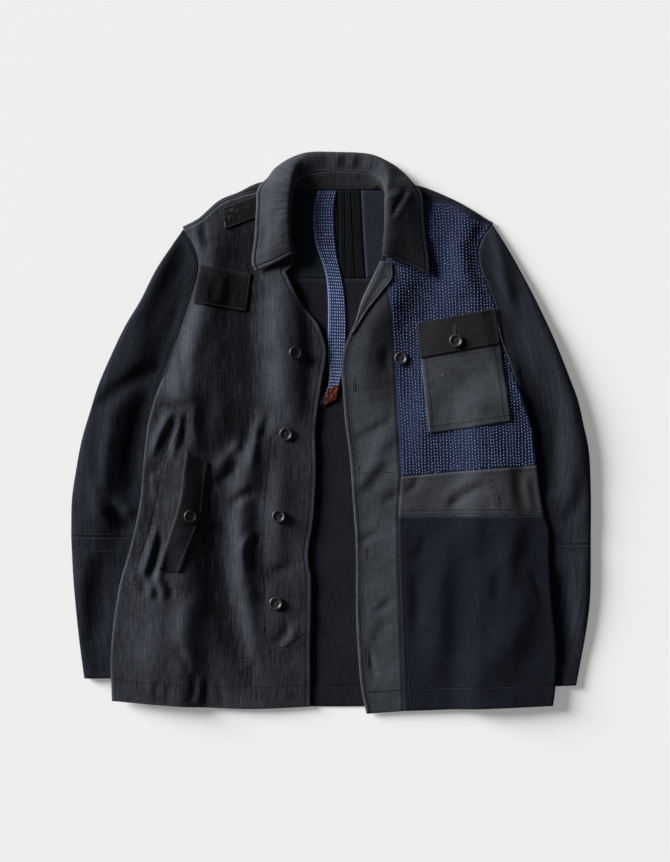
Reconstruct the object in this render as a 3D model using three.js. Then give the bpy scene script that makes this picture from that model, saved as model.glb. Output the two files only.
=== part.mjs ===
// Patched boro work jacket, laid out flat on its back with the fronts open.
// Millimetres, +Z up, +Y towards the collar, +X towards the wearer's left front.
// The floor is z = 0, and the origin is under the middle of the jacket.
// Every cut piece is one closed wall of cloth: a grid of points with a thickness.
import * as THREE from "three";

// ---- driving dimensions ----
const CLOTH = 1.5; // wall of every cloth piece
const SEAM = 0.3; // space between pieces that are sewn together
const DRAW_IN = 0.6 * SEAM; // each piece's border moved in, so that sewn pieces stay a seam apart
const STRAP_CLOTH = 1.2; // thinner wall of the inner strap and its tab
const SLEEVE_UNDER = 8.2; // sleeve squeezed flat under the side of the body
const SIDE_LIFT = SLEEVE_UNDER + 0.9; // back panel's underside where it rides over the sleeve
const BODY_GAP = 7; // hollow between back and fronts
const HEM_GAP = 4.8; // the same at the hem
const EDGE_GAP = 4.4; // the same along the open front edges
const SHOULDER_GAP = 4.6; // the same under the shoulder seams
const SLEEVE_LOFT = 18; // top of the sleeve where nothing presses on it
const SLEEVE_SIDES = 20; // facets round a sleeve
const BUTTON_R = 9.5;
const BUTTON_H = 3.4;

// ---- colours ----
const COLOUR = {
  stripe: 0x2e3134,
  sleeve: 0x23262d,
  placket: 0x35393d,
  sashiko: 0x2b3552,
  band: 0x3a3f42,
  navy: 0x1d2030,
  patch: 0x17181a,
  collar: 0x2f3336,
  inside: 0x23262c,
  tab: 0x8a4326,
  button: 0x33373a,
};

// ---- small maths ----
const clamp01 = (v) => Math.min(1, Math.max(0, v));
const smooth = (v) => {
  const c = clamp01(v);
  return c * c * (3 - 2 * c);
};
const mix = (a, b, t) => a + (b - a) * t;

// n + 1 points equally spaced along a smooth curve through the given points.
function along(points, n) {
  const curve = new THREE.CatmullRomCurve3(
    points.map(([x, y, z = 0]) => new THREE.Vector3(x, y, z)),
    false,
    "centripetal",
  );
  return curve.getSpacedPoints(n).map((p) => [p.x, p.y, p.z]);
}

// Several stretches joined end to end, each with its own number of steps.
function run(...stretches) {
  return stretches.flatMap(([points, n], k) => along(points, n).slice(k ? 1 : 0));
}

// x of a line at height y, for lines that climb steadily.
function xAt(line, y) {
  for (let k = 1; k < line.length; k++) {
    const [x0, y0] = line[k - 1];
    const [x1, y1] = line[k];
    if ((y - y0) * (y - y1) <= 0 && y0 !== y1) return mix(x0, x1, (y - y0) / (y1 - y0));
  }
  const ends = [line[0], line.at(-1)].sort((a, b) => Math.abs(a[1] - y) - Math.abs(b[1] - y));
  return ends[0][0];
}

// ---- outline of the body: hem corner, side seam, armhole, shoulder ----
const RIGHT_SIDE = [[-306, -375], [-307, -304], [-295, -213], [-281, -164], [-266, -94], [-262, -45], [-256, 10]];
const RIGHT_ARMHOLE = [[-256, 10], [-245, 50], [-225, 104], [-214, 136], [-193, 200], [-185, 230], [-189, 255],
  [-206, 285]];
const RIGHT_SHOULDER = [[-206, 285], [-183, 296], [-153, 321], [-127, 331], [-102, 337], [-60, 342]];
const RIGHT_NECK = [[-60, 342], [-61, 297], [-58, 262], [-54, 246]];
const RIGHT_CORNER = [[-64, 225], [-55, 234], [-54, 246]];
const RIGHT_EDGE = [[-29, -384], [-29, -290], [-28, -206], [-32, -172], [-25, -122], [-21, -52], [-22, 4], [-14, 66],
  [-7, 111], [-10, 130], [-18, 150], [-43, 183], [-64, 225]];
const RIGHT_HEM = [[-306, -375], [-204, -383], [-113, -387], [-29, -384]];

const LEFT_SIDE = [[310, -382], [313, -360], [315, -310], [308, -234], [305, -178], [304, -136], [297, -116],
  [291, -80], [287, -46], [281, 5]];
const LEFT_ARMHOLE = [[281, 5], [258, 76], [237, 136], [230, 178], [220, 206], [210, 230], [207, 255], [214, 275],
  [226, 291]];
const LEFT_SHOULDER = [[226, 291], [206, 296], [174, 317], [129, 327], [79, 338]];
const LEFT_NECK = [[79, 338], [80, 290], [79, 246]];
const LEFT_EDGE = [[50, -394], [43, -360], [39, -318], [36, -262], [35, -150], [31, -94], [27, -38], [20, 18],
  [17, 60], [15, 85], [18, 115], [27, 139], [35, 157], [43, 185], [56, 213], [69, 240], [72, 248]];
const PLACKET_SEAM = [[102, -390], [99, -304], [97, -234], [95, -178], [94, -118], [98, -62], [95, -10], [92, 45],
  [90, 94], [87, 130], [84, 171], [79, 205], [79, 246]];
const SASHIKO_FOOT = [[98, -62], [153, -57], [209, -52], [287, -46]];
const BAND_FOOT = [[94, -118], [200, -117], [297, -116]];
const LEFT_HEM = [[102, -390], [153, -388], [209, -386], [258, -384], [310, -382]];

// Edges as height functions: how far inside the body a point lies.
const rightLine = [...along(RIGHT_SIDE, 30), ...along(RIGHT_ARMHOLE, 30)];
const leftLine = [...along(LEFT_SIDE, 30), ...along(LEFT_ARMHOLE, 30)];
const rightEdgeLine = along(RIGHT_EDGE, 60);
const leftEdgeLine = along(LEFT_EDGE, 60);
const insideSide = (x, y) => (x < 0 ? x - xAt(rightLine, y) : xAt(leftLine, y) - x);
const insideEdge = (x, y) => (x < 0 ? xAt(rightEdgeLine, y) - x : x - xAt(leftEdgeLine, y));
const turned = (line) => line.map(([x, y]) => [y, x]);
const belowShoulder = (x, y) => xAt(turned(x < 0 ? RIGHT_SHOULDER : LEFT_SHOULDER), x) - y;

// ---- creases: soft troughs (-) and ridges (+), each [depth, width, points] ----
const FRONT_CREASES = [
  [-3.2, 20, [[-172, 170], [-178, 90], [-165, 10]]],
  [2.2, 20, [[-92, 200], [-88, 120], [-98, 45]]],
  [-2.4, 15, [[-46, 175], [-42, 100], [-52, 30]]],
  [2.4, 17, [[-232, 60], [-225, -30], [-238, -110]]],
  [-2.2, 16, [[-150, -10], [-140, -60], [-138, -120]]],
  [2.2, 17, [[-118, -40], [-112, -120], [-118, -200]]],
  [-2.4, 16, [[-210, -235], [-180, -285], [-155, -330]]],
  [2, 18, [[-262, -200], [-255, -270], [-262, -335]]],
  [2.6, 17, [[181, -122], [153, -180], [139, -290]]],
  [-2.4, 16, [[214, -140], [186, -200], [180, -260]]],
  [-2, 15, [[282, -150], [262, -200], [258, -250]]],
  [1.8, 18, [[240, -200], [228, -280], [232, -340]]],
  [-1.6, 16, [[168, 300], [160, 250], [150, 200]]],
  [1.6, 16, [[200, 290], [190, 250], [186, 215]]],
  [-1.5, 14, [[70, 150], [62, 60], [66, -20]]],
];
const SLEEVE_CREASES = [
  [-7, 13, [[-232, 92], [-267, 80], [-300, 62], [-338, 30]]],
  [-5.5, 12, [[-250, 50], [-265, -10], [-282, -80]]],
  [-3.5, 12, [[-262, 140], [-292, 110], [-322, 62]]],
  [-4, 13, [[-330, -60], [-318, -110], [-300, -135]]],
  [3, 16, [[-222, 262], [-250, 190], [-262, 130]]],
  [-4, 14, [[-330, -180], [-336, -240], [-330, -300]]],
  [-6.5, 13, [[262, 96], [290, 70], [318, 52], [345, 26]]],
  [-5, 12, [[286, 40], [302, -20], [312, -80]]],
  [-3.5, 12, [[256, 150], [284, 128], [318, 92]]],
  [3, 15, [[226, 276], [236, 235], [262, 150]]],
  [-4, 13, [[344, -60], [330, -105], [312, -140]]],
  [-4, 14, [[346, -190], [350, -240], [340, -300]]],
];

// Sum of the creases at a point; each fades out towards both of its ends.
function creaseAt(creases, x, y) {
  let sum = 0;
  for (const [depth, width, points] of creases) {
    let best = Infinity;
    let place = 0;
    for (let k = 1; k < points.length; k++) {
      const [ax, ay] = points[k - 1];
      const [dx, dy] = [points[k][0] - ax, points[k][1] - ay];
      const t = clamp01(((x - ax) * dx + (y - ay) * dy) / (dx * dx + dy * dy));
      const d = Math.hypot(x - ax - t * dx, y - ay - t * dy);
      if (d < best) [best, place] = [d, (k - 1 + t) / (points.length - 1)];
    }
    sum += depth * Math.exp(-((best / width) ** 2)) * Math.sqrt(4 * place * (1 - place) + 0.04);
  }
  return sum;
}

// ---- heights of the layers ----
// Underside of the back: flat on the floor, and lifted over the sleeves at its sides.
function backZ(x, y) {
  const overSleeve = smooth((Math.abs(x) - 166) / 44);
  const belowArmhole = 1 - smooth((y - 36) / 50);
  return SIDE_LIFT * overSleeve * belowArmhole;
}

// Underside of the fronts over the back.
function frontZ(x, y) {
  const side = mix(0.07, 1, smooth(insideSide(x, y) / 64));
  const closed = mix(side, 1, smooth((y - 10) / 60));
  const edge = mix(EDGE_GAP / BODY_GAP, 1, smooth(insideEdge(x, y) / 60));
  const hem = mix(HEM_GAP / BODY_GAP, 1, smooth((y + 385) / 70));
  const shoulder = mix(SHOULDER_GAP / BODY_GAP, 1, smooth(belowShoulder(x, y) / 50));
  const crease = creaseAt(FRONT_CREASES, x, y) * smooth(insideSide(x, y) / 40);
  const gap = Math.max(0.5, BODY_GAP * closed * edge * hem * shoulder + crease);
  return backZ(x, y) + CLOTH + gap;
}

// Top of a sleeve: level with the armhole, low under the body, lofted beyond it.
function sleeveTop(x, y) {
  const outside = -insideSide(x, y);
  const base = mix(SLEEVE_UNDER, BODY_GAP + 2 * CLOTH, smooth((y - 64) / 56));
  const loft = mix(SLEEVE_LOFT - 3, SLEEVE_LOFT, smooth((y + 300) / 250));
  const open = smooth((outside - 12) / 44);
  return Math.max(base - 3, mix(base, loft, open) + creaseAt(SLEEVE_CREASES, x, y) * open);
}

// ---- walls ----
// A closed body from two matching grids of points, lower and upper, in rows.
function shell(lower, upper, roundRows = false) {
  const rows = lower.length;
  const cols = lower[0].length;
  const position = [...lower.flat(), ...upper.flat()].flat();
  const index = [];
  const at = (layer, i, j) => layer * rows * cols + i * cols + (j % cols);
  const quad = (a, b, c, d) => index.push(a, b, c, a, c, d);
  const spans = roundRows ? cols : cols - 1;
  for (let i = 0; i < rows - 1; i++)
    for (let j = 0; j < spans; j++) {
      quad(at(1, i, j), at(1, i, j + 1), at(1, i + 1, j + 1), at(1, i + 1, j));
      quad(at(0, i, j), at(0, i + 1, j), at(0, i + 1, j + 1), at(0, i, j + 1));
    }
  for (let j = 0; j < spans; j++) {
    quad(at(0, 0, j), at(0, 0, j + 1), at(1, 0, j + 1), at(1, 0, j));
    const last = rows - 1;
    quad(at(1, last, j), at(1, last, j + 1), at(0, last, j + 1), at(0, last, j));
  }
  if (!roundRows)
    for (let i = 0; i < rows - 1; i++) {
      quad(at(0, i, 0), at(1, i, 0), at(1, i + 1, 0), at(0, i + 1, 0));
      quad(at(1, i, cols - 1), at(0, i, cols - 1), at(0, i + 1, cols - 1), at(1, i + 1, cols - 1));
    }
  const corner = (k) => new THREE.Vector3(...position.slice(3 * index[k], 3 * index[k] + 3));
  let volume = 0;
  for (let k = 0; k < index.length; k += 3) volume += corner(k).dot(corner(k + 1).cross(corner(k + 2)));
  if (volume < 0) index.reverse(); // a grid laid out the other way round faces inwards
  const geometry = new THREE.BufferGeometry();
  geometry.setAttribute("position", new THREE.Float32BufferAttribute(position, 3));
  geometry.setIndex(index);
  geometry.computeVertexNormals();
  return geometry;
}

// Grid filling four edges: foot and head run left to right, both sides run upwards.
function fill(foot, right, head, left) {
  const [nu, nv] = [foot.length - 1, left.length - 1];
  const at = (axis, u, v, i, j) =>
    (1 - v) * foot[i][axis] + v * head[i][axis] + (1 - u) * left[j][axis] + u * right[j][axis] -
    (1 - u) * (1 - v) * foot[0][axis] - u * (1 - v) * foot[nu][axis] -
    (1 - u) * v * head[0][axis] - u * v * head[nu][axis];
  return left.map((_, j) => foot.map((__, i) => [at(0, i / nu, j / nv, i, j), at(1, i / nu, j / nv, i, j)]));
}

// The same grid drawn in on every side, to leave its share of the seam space.
function drawIn(grid) {
  const [rows, cols] = [grid.length, grid[0].length];
  const step = (a, b) => {
    const d = [b[0] - a[0], b[1] - a[1]];
    const l = Math.hypot(...d);
    return [(d[0] / l) * DRAW_IN, (d[1] / l) * DRAW_IN];
  };
  const moved = grid.map((row) => row.map((p) => [...p]));
  const shift = (p, s) => ((p[0] += s[0]), (p[1] += s[1]));
  for (let i = 0; i < rows; i++) {
    shift(moved[i][0], step(grid[i][0], grid[i][1]));
    shift(moved[i][cols - 1], step(grid[i][cols - 1], grid[i][cols - 2]));
  }
  for (let j = 0; j < cols; j++) {
    shift(moved[0][j], step(grid[0][j], grid[1][j]));
    shift(moved[rows - 1][j], step(grid[rows - 1][j], grid[rows - 2][j]));
  }
  return moved;
}

// A panel lying on the height function of its layer.
function panel(grid, height, thickness = CLOTH) {
  const low = drawIn(grid).map((row) => row.map(([x, y]) => [x, y, height(x, y)]));
  return shell(low, low.map((row) => row.map(([x, y, z]) => [x, y, z + thickness])));
}

// A wall of even thickness about a curved sheet of points, moved out along its normals.
function curvedWall(mid, thickness = CLOTH) {
  const v = (i, j) => new THREE.Vector3(...mid[i][j]);
  const [rows, cols] = [mid.length, mid[0].length];
  const side = (sign) =>
    mid.map((row, i) =>
      row.map((_, j) => {
        const du = v(i, Math.min(cols - 1, j + 1)).sub(v(i, Math.max(0, j - 1)));
        const dv = v(Math.min(rows - 1, i + 1), j).sub(v(Math.max(0, i - 1), j));
        const normal = du.cross(dv).normalize();
        return v(i, j).addScaledVector(normal, (sign * thickness) / 2).toArray();
      }),
    );
  return shell(side(-1), side(1));
}

// ---- the jacket ----
const jacket = new THREE.Group();
jacket.name = "patched_boro_jacket";

function add(name, geometry, color, roughness = 0.95) {
  const material = new THREE.MeshStandardMaterial({ color, roughness, metalness: 0 });
  const mesh = new THREE.Mesh(geometry, material);
  mesh.name = name;
  jacket.add(mesh);
  return mesh;
}

// Back: one lower panel and three upper ones, joined along a seam below the shoulder blades.
const BACK_SEAM_Y = 216;
const upTo = (line, top) => [...line.filter(([, y]) => y < top - 6), [xAt(line, top), top]];
const BACK_INSET = 3.5; // the back's armholes lie this far inside the front's
const inset = (line) => line.map(([x, y]) => [x - Math.sign(x) * BACK_INSET, y]);
const rightBackArmhole = inset(RIGHT_ARMHOLE);
const leftBackArmhole = inset(LEFT_ARMHOLE);
const seamLeft = [xAt(rightBackArmhole, BACK_SEAM_Y), BACK_SEAM_Y];
const seamRight = [xAt(leftBackArmhole, BACK_SEAM_Y), BACK_SEAM_Y];
const backHem = [[-306, -371], [-200, -379], [-29, -384], [43, -384], [200, -382], [310, -378]];
const rightBackSide = [[-306, -371], ...RIGHT_SIDE.slice(1)];
const leftBackSide = [[310, -378], ...LEFT_SIDE.slice(2)];
add("back_lower", panel(fill(
  along(backHem, 16),
  run([leftBackSide, 9], [upTo(leftBackArmhole, BACK_SEAM_Y), 6]),
  along([seamLeft, seamRight], 16),
  run([rightBackSide, 9], [upTo(rightBackArmhole, BACK_SEAM_Y), 6]),
), backZ), COLOUR.inside);

const YOKE_UNDER = 8; // how far the back yokes come in under the shoulder seams
const YOKE_SPACE = 1.5; // and the space left beyond their edge
const belowYoke = (line) => line.map(([x, y]) => [x, y - YOKE_UNDER - YOKE_SPACE]);
const rightTop = belowYoke([[-194, 282], [-183, 293], [-153, 316], [-102, 335], [-60, 341]]);
const leftTop = belowYoke([[214, 285], [206, 293], [174, 312], [129, 325], [80, 337]]);
const NECK_Y = 340;
const STRIP_LEFT = [[12, BACK_SEAM_Y], [11, 280], [10, NECK_Y]];
const STRIP_RIGHT = [[49, BACK_SEAM_Y], [45, 280], [42, NECK_Y]];
add("back_upper_right", panel(fill(
  along([seamLeft, [12, BACK_SEAM_Y]], 7),
  along(STRIP_LEFT, 4),
  run([[...rightTop], 5], [[rightTop.at(-1), [-49, NECK_Y], [10, NECK_Y]], 2]),
  along([seamLeft, [-181, 232], [-184, 252], rightTop[0]], 4),
), backZ), COLOUR.inside);
add("back_centre_strip", panel(fill(
  along([[12, BACK_SEAM_Y], [49, BACK_SEAM_Y]], 2),
  along(STRIP_RIGHT, 4),
  along([[10, NECK_Y], [42, NECK_Y]], 2),
  along(STRIP_LEFT, 4),
), backZ), COLOUR.stripe);
add("back_upper_left", panel(fill(
  along([[49, BACK_SEAM_Y], seamRight], 6),
  along([seamRight, [205, 232], [203, 252], leftTop[0]], 4),
  run([[[42, NECK_Y], [72, NECK_Y], leftTop.at(-1)], 2], [[...leftTop].reverse(), 4]),
  along(STRIP_RIGHT, 4),
), backZ), COLOUR.navy);

// Strap of stitched cloth sewn down the inside of the back, with a woven tab at its end.
const STRAP_LEFT = [[-17, 38], [-3, 70], [-4, 115], [-6, 216], [-22, 270], [-24, 318], [-18, 339]];
const STRAP_RIGHT = [[8, 52], [17, 94], [21, 140], [18, 200], [7, 255], [4, 318], [8, 339]];
const onBack = (x, y) => backZ(x, y) + CLOTH + SEAM;
const strapFoot = [[-17, 38], [8, 52]];
add("inner_strap", panel(fill(
  along(strapFoot, 2),
  along(STRAP_RIGHT, 13),
  along([[-18, 339], [8, 339]], 2),
  along(STRAP_LEFT, 13),
), onBack, STRAP_CLOTH), COLOUR.sashiko);
const onStrap = (x, y) => onBack(x, y) + STRAP_CLOTH + SEAM;
add("strap_end_tab", panel(fill(
  along([[-11, 37], [7, 46]], 1),
  along([[7, 46], [13, 68]], 2),
  along([[-4, 61], [13, 68]], 1),
  along([[-11, 37], [-4, 61]], 2),
), onStrap, STRAP_CLOTH), COLOUR.tab);

// Fronts. The wearer's right is one wide panel.
const rightFront = fill(
  along(RIGHT_HEM, 10),
  run([RIGHT_EDGE, 18], [RIGHT_CORNER, 1], [[...RIGHT_NECK].reverse(), 3]),
  along(RIGHT_SHOULDER, 10),
  run([RIGHT_SIDE, 12], [RIGHT_ARMHOLE, 10]),
);
add("right_front", panel(rightFront, frontZ), COLOUR.stripe);

// The wearer's left is pieced: placket, stitched panel, band and lower panel.
const seamPart = (low, high) => PLACKET_SEAM.filter(([, y]) => y >= low && y <= high);
const LOWER_ROWS = 8;
const BAND_ROWS = 2;
const CHEST_ROWS = 10;
const placketSeam = run([seamPart(-390, -118), LOWER_ROWS], [seamPart(-118, -62), BAND_ROWS],
  [seamPart(-62, 246), CHEST_ROWS]);
add("left_placket", panel(fill(
  along([[50, -394], [102, -390]], 2),
  placketSeam,
  along([[72, 248], [79, 246]], 2),
  along(LEFT_EDGE, placketSeam.length - 1),
), frontZ), COLOUR.placket);
add("left_front_sashiko", panel(fill(
  along(SASHIKO_FOOT, 7),
  run([[[287, -46], [281, 5]], 2], [LEFT_ARMHOLE, CHEST_ROWS + 1]),
  along([...LEFT_SHOULDER].reverse(), 7),
  run([seamPart(-62, 246), CHEST_ROWS], [[...LEFT_NECK].reverse(), 3]),
), frontZ), COLOUR.sashiko);
add("left_front_band", panel(fill(
  along(BAND_FOOT, 7),
  along([[297, -116], [291, -80], [287, -46]], BAND_ROWS),
  along(SASHIKO_FOOT, 7),
  along(seamPart(-118, -62), BAND_ROWS),
), frontZ), COLOUR.band);
add("left_front_lower", panel(fill(
  along(LEFT_HEM, 7),
  along(LEFT_SIDE.slice(0, 7), LOWER_ROWS),
  along(BAND_FOOT, 7),
  along(seamPart(-390, -118), LOWER_ROWS),
), frontZ), COLOUR.navy);

// Yokes: the back's cloth turned over the shoulder and sewn to the front.
const YOKE_START = 1; // its cut edge beyond the seam line
function yoke(seam, reaches, n) {
  const line = along(seam, n);
  const reachLine = along(seam.map(([x, y], k) => [x, y, reaches[k]]), n);
  const rows = line.map(([x, y], k) => {
    const [before, after] = [line[Math.max(0, k - 1)], line[Math.min(n, k + 1)]];
    const run = Math.hypot(after[0] - before[0], after[1] - before[1]);
    const [ux, uy] = [-(after[1] - before[1]) / run, (after[0] - before[0]) / run];
    const reach = reachLine[k][2];
    const top = frontZ(x, y) + CLOTH / 2;
    const low = CLOTH / 2;
    const [tall, deep] = [(top - low) / 2, Math.min((top - low) / 2, reach - YOKE_START - 0.5)];
    const at = (out, z) => [x + ux * out, y + uy * out, z];
    const fold = [90, 50, 0, -50, -90].map((degrees) => {
      const angle = (degrees * Math.PI) / 180;
      return at(reach - deep + deep * Math.cos(angle), low + tall + tall * Math.sin(angle));
    });
    return [at(YOKE_START, top), ...fold, at(-YOKE_UNDER, low)];
  });
  return curvedWall(rows);
}
const rightReaches = [3.6, 4.6, 5.2, 6, 12, 16];
const leftReaches = [15, 16, 7, 9, 3.2];
add("yoke_right", yoke(RIGHT_SHOULDER, rightReaches, 10), COLOUR.stripe);
add("yoke_left", yoke([...LEFT_SHOULDER].reverse(), leftReaches, 7), COLOUR.sleeve);

// What lies on the fronts follows them, moved out.
const ON_FRONT = 1.3; // clear of the facets below
const onFront = (x, y) => frontZ(x, y) + CLOTH + ON_FRONT;
function applied(name, corners, [nu, nv], color, height = onFront, thickness = CLOTH) {
  const [footLeft, footRight, headRight, headLeft] = corners;
  return add(name, panel(fill(
    along([footLeft, footRight], nu),
    along([footRight, headRight], nv),
    along([headLeft, headRight], nu),
    along([footLeft, headLeft], nv),
  ), height, thickness), color);
}
applied("shoulder_patch", [[-148, 285], [-102, 302], [-102, 332], [-152, 314]], [3, 2], COLOUR.patch);
applied("chest_patch", [[-192, 181], [-118, 169], [-111, 222], [-182, 234]], [4, 3], COLOUR.patch);
applied("chest_pocket", [[137, -1], [251, 16], [237, 124], [126, 105]], [5, 5], COLOUR.placket);
const FLAP_RISE = CLOTH + 2 * SEAM;
applied("chest_pocket_flap", [[125, 104], [237, 125], [231, 174], [120, 153]], [5, 3], COLOUR.patch,
  (x, y) => onFront(x, y) + FLAP_RISE);
add("welt_flap", panel(fill(
  along([[-241, -191], [-210, -195]], 2),
  along([[-210, -195], [-197, -162], [-179, -115], [-175, -80], [-171, -43]], 6),
  along([[-202, -26], [-171, -43]], 2),
  along([[-241, -191], [-228, -150], [-211, -94], [-206, -52], [-202, -26]], 6),
), onFront), COLOUR.stripe);

// The left front's top corner is turned back as a narrow lapel along its roll.
const ROLL = [[27, 136], [35, 157], [43, 185], [56, 213], [69, 239]];
const LAPEL_RISE = 1.2; // lapel's middle above the placket along the roll
const LAPEL_CLOTH = 1.4;
const LAPEL_OUTER = [[32, 141], [50, 170], [72, 198], [85, 216], [85, 238]];
const lapelRows = along(ROLL, 7).map(([ax, ay], k) => {
  const [bx, by] = along(LAPEL_OUTER, 7)[k];
  const base = frontZ(ax, ay) + CLOTH + LAPEL_RISE;
  const open = smooth(k / 4);
  const lift = mix(0.6, 2.6, open);
  return [
    [mix(ax, bx, 0.02), mix(ay, by, 0.02), base + 0.4 * lift],
    [mix(ax, bx, 0.2), mix(ay, by, 0.2), base + 1.4 * lift],
    [mix(ax, bx, 0.6), mix(ay, by, 0.6), base + lift + 0.4],
    [bx, by, onFront(bx, by) + CLOTH / 2 + 0.5],
  ];
});
add("left_lapel_facing", curvedWall(lapelRows.reverse(), LAPEL_CLOTH), COLOUR.band);

// Sleeves: flattened tubes in rings from armhole to cuff, tucked in under the sides.
// The first rings bow in along the armhole that they are sewn to.
const ARMHOLE_SPACE = 1.4;
const BOW_RINGS = 5;
function sleeve(outerLine, innerLine, n, armhole) {
  const [outer, inner] = [along(outerLine, n), along(innerLine, n)];
  const away = Math.sign(outer[0][0]) * ARMHOLE_SPACE;
  const sewn = armhole && new THREE.CatmullRomCurve3(
    armhole.map(([x, y]) => new THREE.Vector3(x + away, y, 0)), false, "centripetal");
  const pointAt = (k, across) => {
    const straight = [mix(inner[k][0], outer[k][0], across), mix(inner[k][1], outer[k][1], across)];
    if (!sewn || k >= BOW_RINGS) return straight;
    const { x, y } = sewn.getPointAt(across);
    const fade = (1 - k / BOW_RINGS) ** 2;
    const [x0, y0] = [mix(inner[0][0], outer[0][0], across), mix(inner[0][1], outer[0][1], across)];
    return [straight[0] + (x - x0) * fade, straight[1] + (y - y0) * fade];
  };
  const ring = (k, wall) =>
    Array.from({ length: SLEEVE_SIDES }, (_, m) => {
      const angle = (2 * Math.PI * m) / SLEEVE_SIDES;
      const c = Math.cos(angle);
      const half = Math.hypot(outer[k][0] - inner[k][0], outer[k][1] - inner[k][1]) / 2;
      const [x, y] = pointAt(k, (1 + (c * (half - wall)) / half) / 2);
      const round = (1 - Math.abs(c) ** 4) ** 0.25;
      const top = sleeveTop(x, y);
      const edge = Math.min(top / 2, 5);
      const z = Math.sin(angle) >= -1e-9
        ? edge + (top - edge - wall) * round
        : edge - (edge - wall) * Math.min(1, round * 1.06);
      return [x, y, z];
    });
  const rings = (wall) => outer.map((_, k) => ring(k, wall));
  return shell(rings(CLOTH), rings(0), true);
}
const RIGHT_SLEEVE_OUT = [[-208, 285], [-225, 260], [-246, 227], [-267, 185], [-288, 150], [-309, 106], [-326, 66],
  [-337, 31], [-349, -10], [-357, -52], [-363, -94], [-364, -146]];
const RIGHT_CUFF_OUT = [[-364, -146.6], [-361, -206], [-353, -290], [-346, -344]];
const RIGHT_SLEEVE_IN = [[-258, 12], [-246, -60], [-238, -146]];
const RIGHT_CUFF_IN = [[-238, -146.6], [-231, -230], [-225, -344]];
const LEFT_SLEEVE_OUT = [[230, 290], [251, 255], [272, 216], [293, 174], [314, 128], [335, 75], [346, 45], [354, 10],
  [361, -24], [364, -80], [364, -157]];
const LEFT_CUFF_OUT = [[364, -157.6], [364, -192], [363, -234], [358, -276], [344, -354]];
const LEFT_SLEEVE_IN = [[283, 7], [264, -60], [248, -157]];
const LEFT_CUFF_IN = [[248, -157.6], [236, -250], [226, -358]];
add("sleeve_right_upper", sleeve(RIGHT_SLEEVE_OUT, RIGHT_SLEEVE_IN, 12, RIGHT_ARMHOLE), COLOUR.sleeve);
add("sleeve_right_lower", sleeve(RIGHT_CUFF_OUT, RIGHT_CUFF_IN, 6), COLOUR.sleeve);
add("sleeve_left_upper", sleeve(LEFT_SLEEVE_OUT, LEFT_SLEEVE_IN, 12, LEFT_ARMHOLE), COLOUR.sleeve);
add("sleeve_left_lower", sleeve(LEFT_CUFF_OUT, LEFT_CUFF_IN, 6), COLOUR.sleeve);

// Collar: stations round the neck, each from neck seam over stand, roll and leaf to its edge.
const NECK_Z = 8.6;
const FALL_Z = 12;
const COLLAR = [
  // neck seam, stand seam, roll, middle of the leaf, edge of the leaf
  [[-50, 247, NECK_Z], [-50, 249, 15], [-53, 249, 18.5], [-80, 236, 15], [-106, 226, FALL_Z]],
  [[-55, 264, NECK_Z], [-54, 264, 19], [-57, 264, 23], [-82, 252, 18], [-110, 238, FALL_Z]],
  [[-58, 290, NECK_Z], [-56, 290, 21], [-60, 290, 25.5], [-80, 286, 21], [-106, 275, FALL_Z + 1.4]],
  [[-57.5, 318, NECK_Z], [-55, 319, 21.5], [-60, 320, 26.5], [-80, 318, 22], [-104, 312, FALL_Z + 2.2]],
  [[-54, 337, NECK_Z - 1], [-51, 343, 20.5], [-57, 349, 25.5], [-79, 350, 20], [-101, 342, FALL_Z + 2]],
  [[-47, 341.6, 5.2], [-45, 353, 14.5], [-53, 369, 20.5], [-80, 367, 11], [-76, 362, 1.8]],
  [[-30, 341.6, 2.4], [-31, 361, 9], [-36, 388, 12.5], [-46, 388, 4.5], [-40, 366, 1.3]],
  [[13, 341.6, 2.4], [13, 365, 8], [13, 391, 10.5], [13, 390, 3], [13, 360, 1.3]],
  [[56, 341.6, 2.4], [57, 361, 9], [62, 385, 12.5], [70, 384, 4.5], [64, 363, 1.3]],
  [[71, 341.6, 5.2], [70, 352, 14.5], [77, 366, 20.5], [102, 361, 11], [98, 356, 1.8]],
  [[76, 336, NECK_Z - 1], [75, 340, 20.5], [80, 345, 25.5], [103, 347, 20], [125, 338, FALL_Z + 2]],
  [[77, 316, NECK_Z], [75, 316, 21.5], [80, 316, 26.5], [103, 316, 22], [129, 311, FALL_Z + 0.6]],
  [[78, 290, NECK_Z], [75, 289, 21], [79, 288, 25.5], [105, 285, 21], [132, 277, FALL_Z + 0.4]],
  [[76.5, 264, NECK_Z], [73, 262, 19.5], [77, 261, 23.5], [106, 254, 18.5], [137, 241, FALL_Z + 0.4]],
  [[74, 250, NECK_Z + 2.6], [72, 248, 17], [75, 246, 20], [105, 236, 15.5], [138, 221, FALL_Z + 0.4]],
];
const collarLine = (k) => along(COLLAR.map((station) => station[k]), 22);
const [neckLine, standLine, rollLine, midLine, edgeLine] = [0, 1, 2, 3, 4].map(collarLine);
const lerp3 = (a, b, t) => a.map((v, i) => mix(v, b[i], t));
add("collar_stand", curvedWall(neckLine.map((p, k) => [p, lerp3(p, standLine[k], 0.5), standLine[k]])), COLOUR.collar);
const LEAF_START = 1.4; // leaf begins just past the stand's edge
add("collar_leaf", curvedWall(neckLine.map((_, k) => {
  const rise = new THREE.Vector3(...rollLine[k]).sub(new THREE.Vector3(...standLine[k]));
  const start = new THREE.Vector3(...standLine[k]).addScaledVector(rise.normalize(), LEAF_START).toArray();
  const section = new THREE.CatmullRomCurve3([start, rollLine[k], midLine[k], edgeLine[k]]
    .map((p) => new THREE.Vector3(...p)), false, "centripetal");
  return section.getSpacedPoints(7).map((p) => p.toArray());
})), COLOUR.collar);

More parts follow.
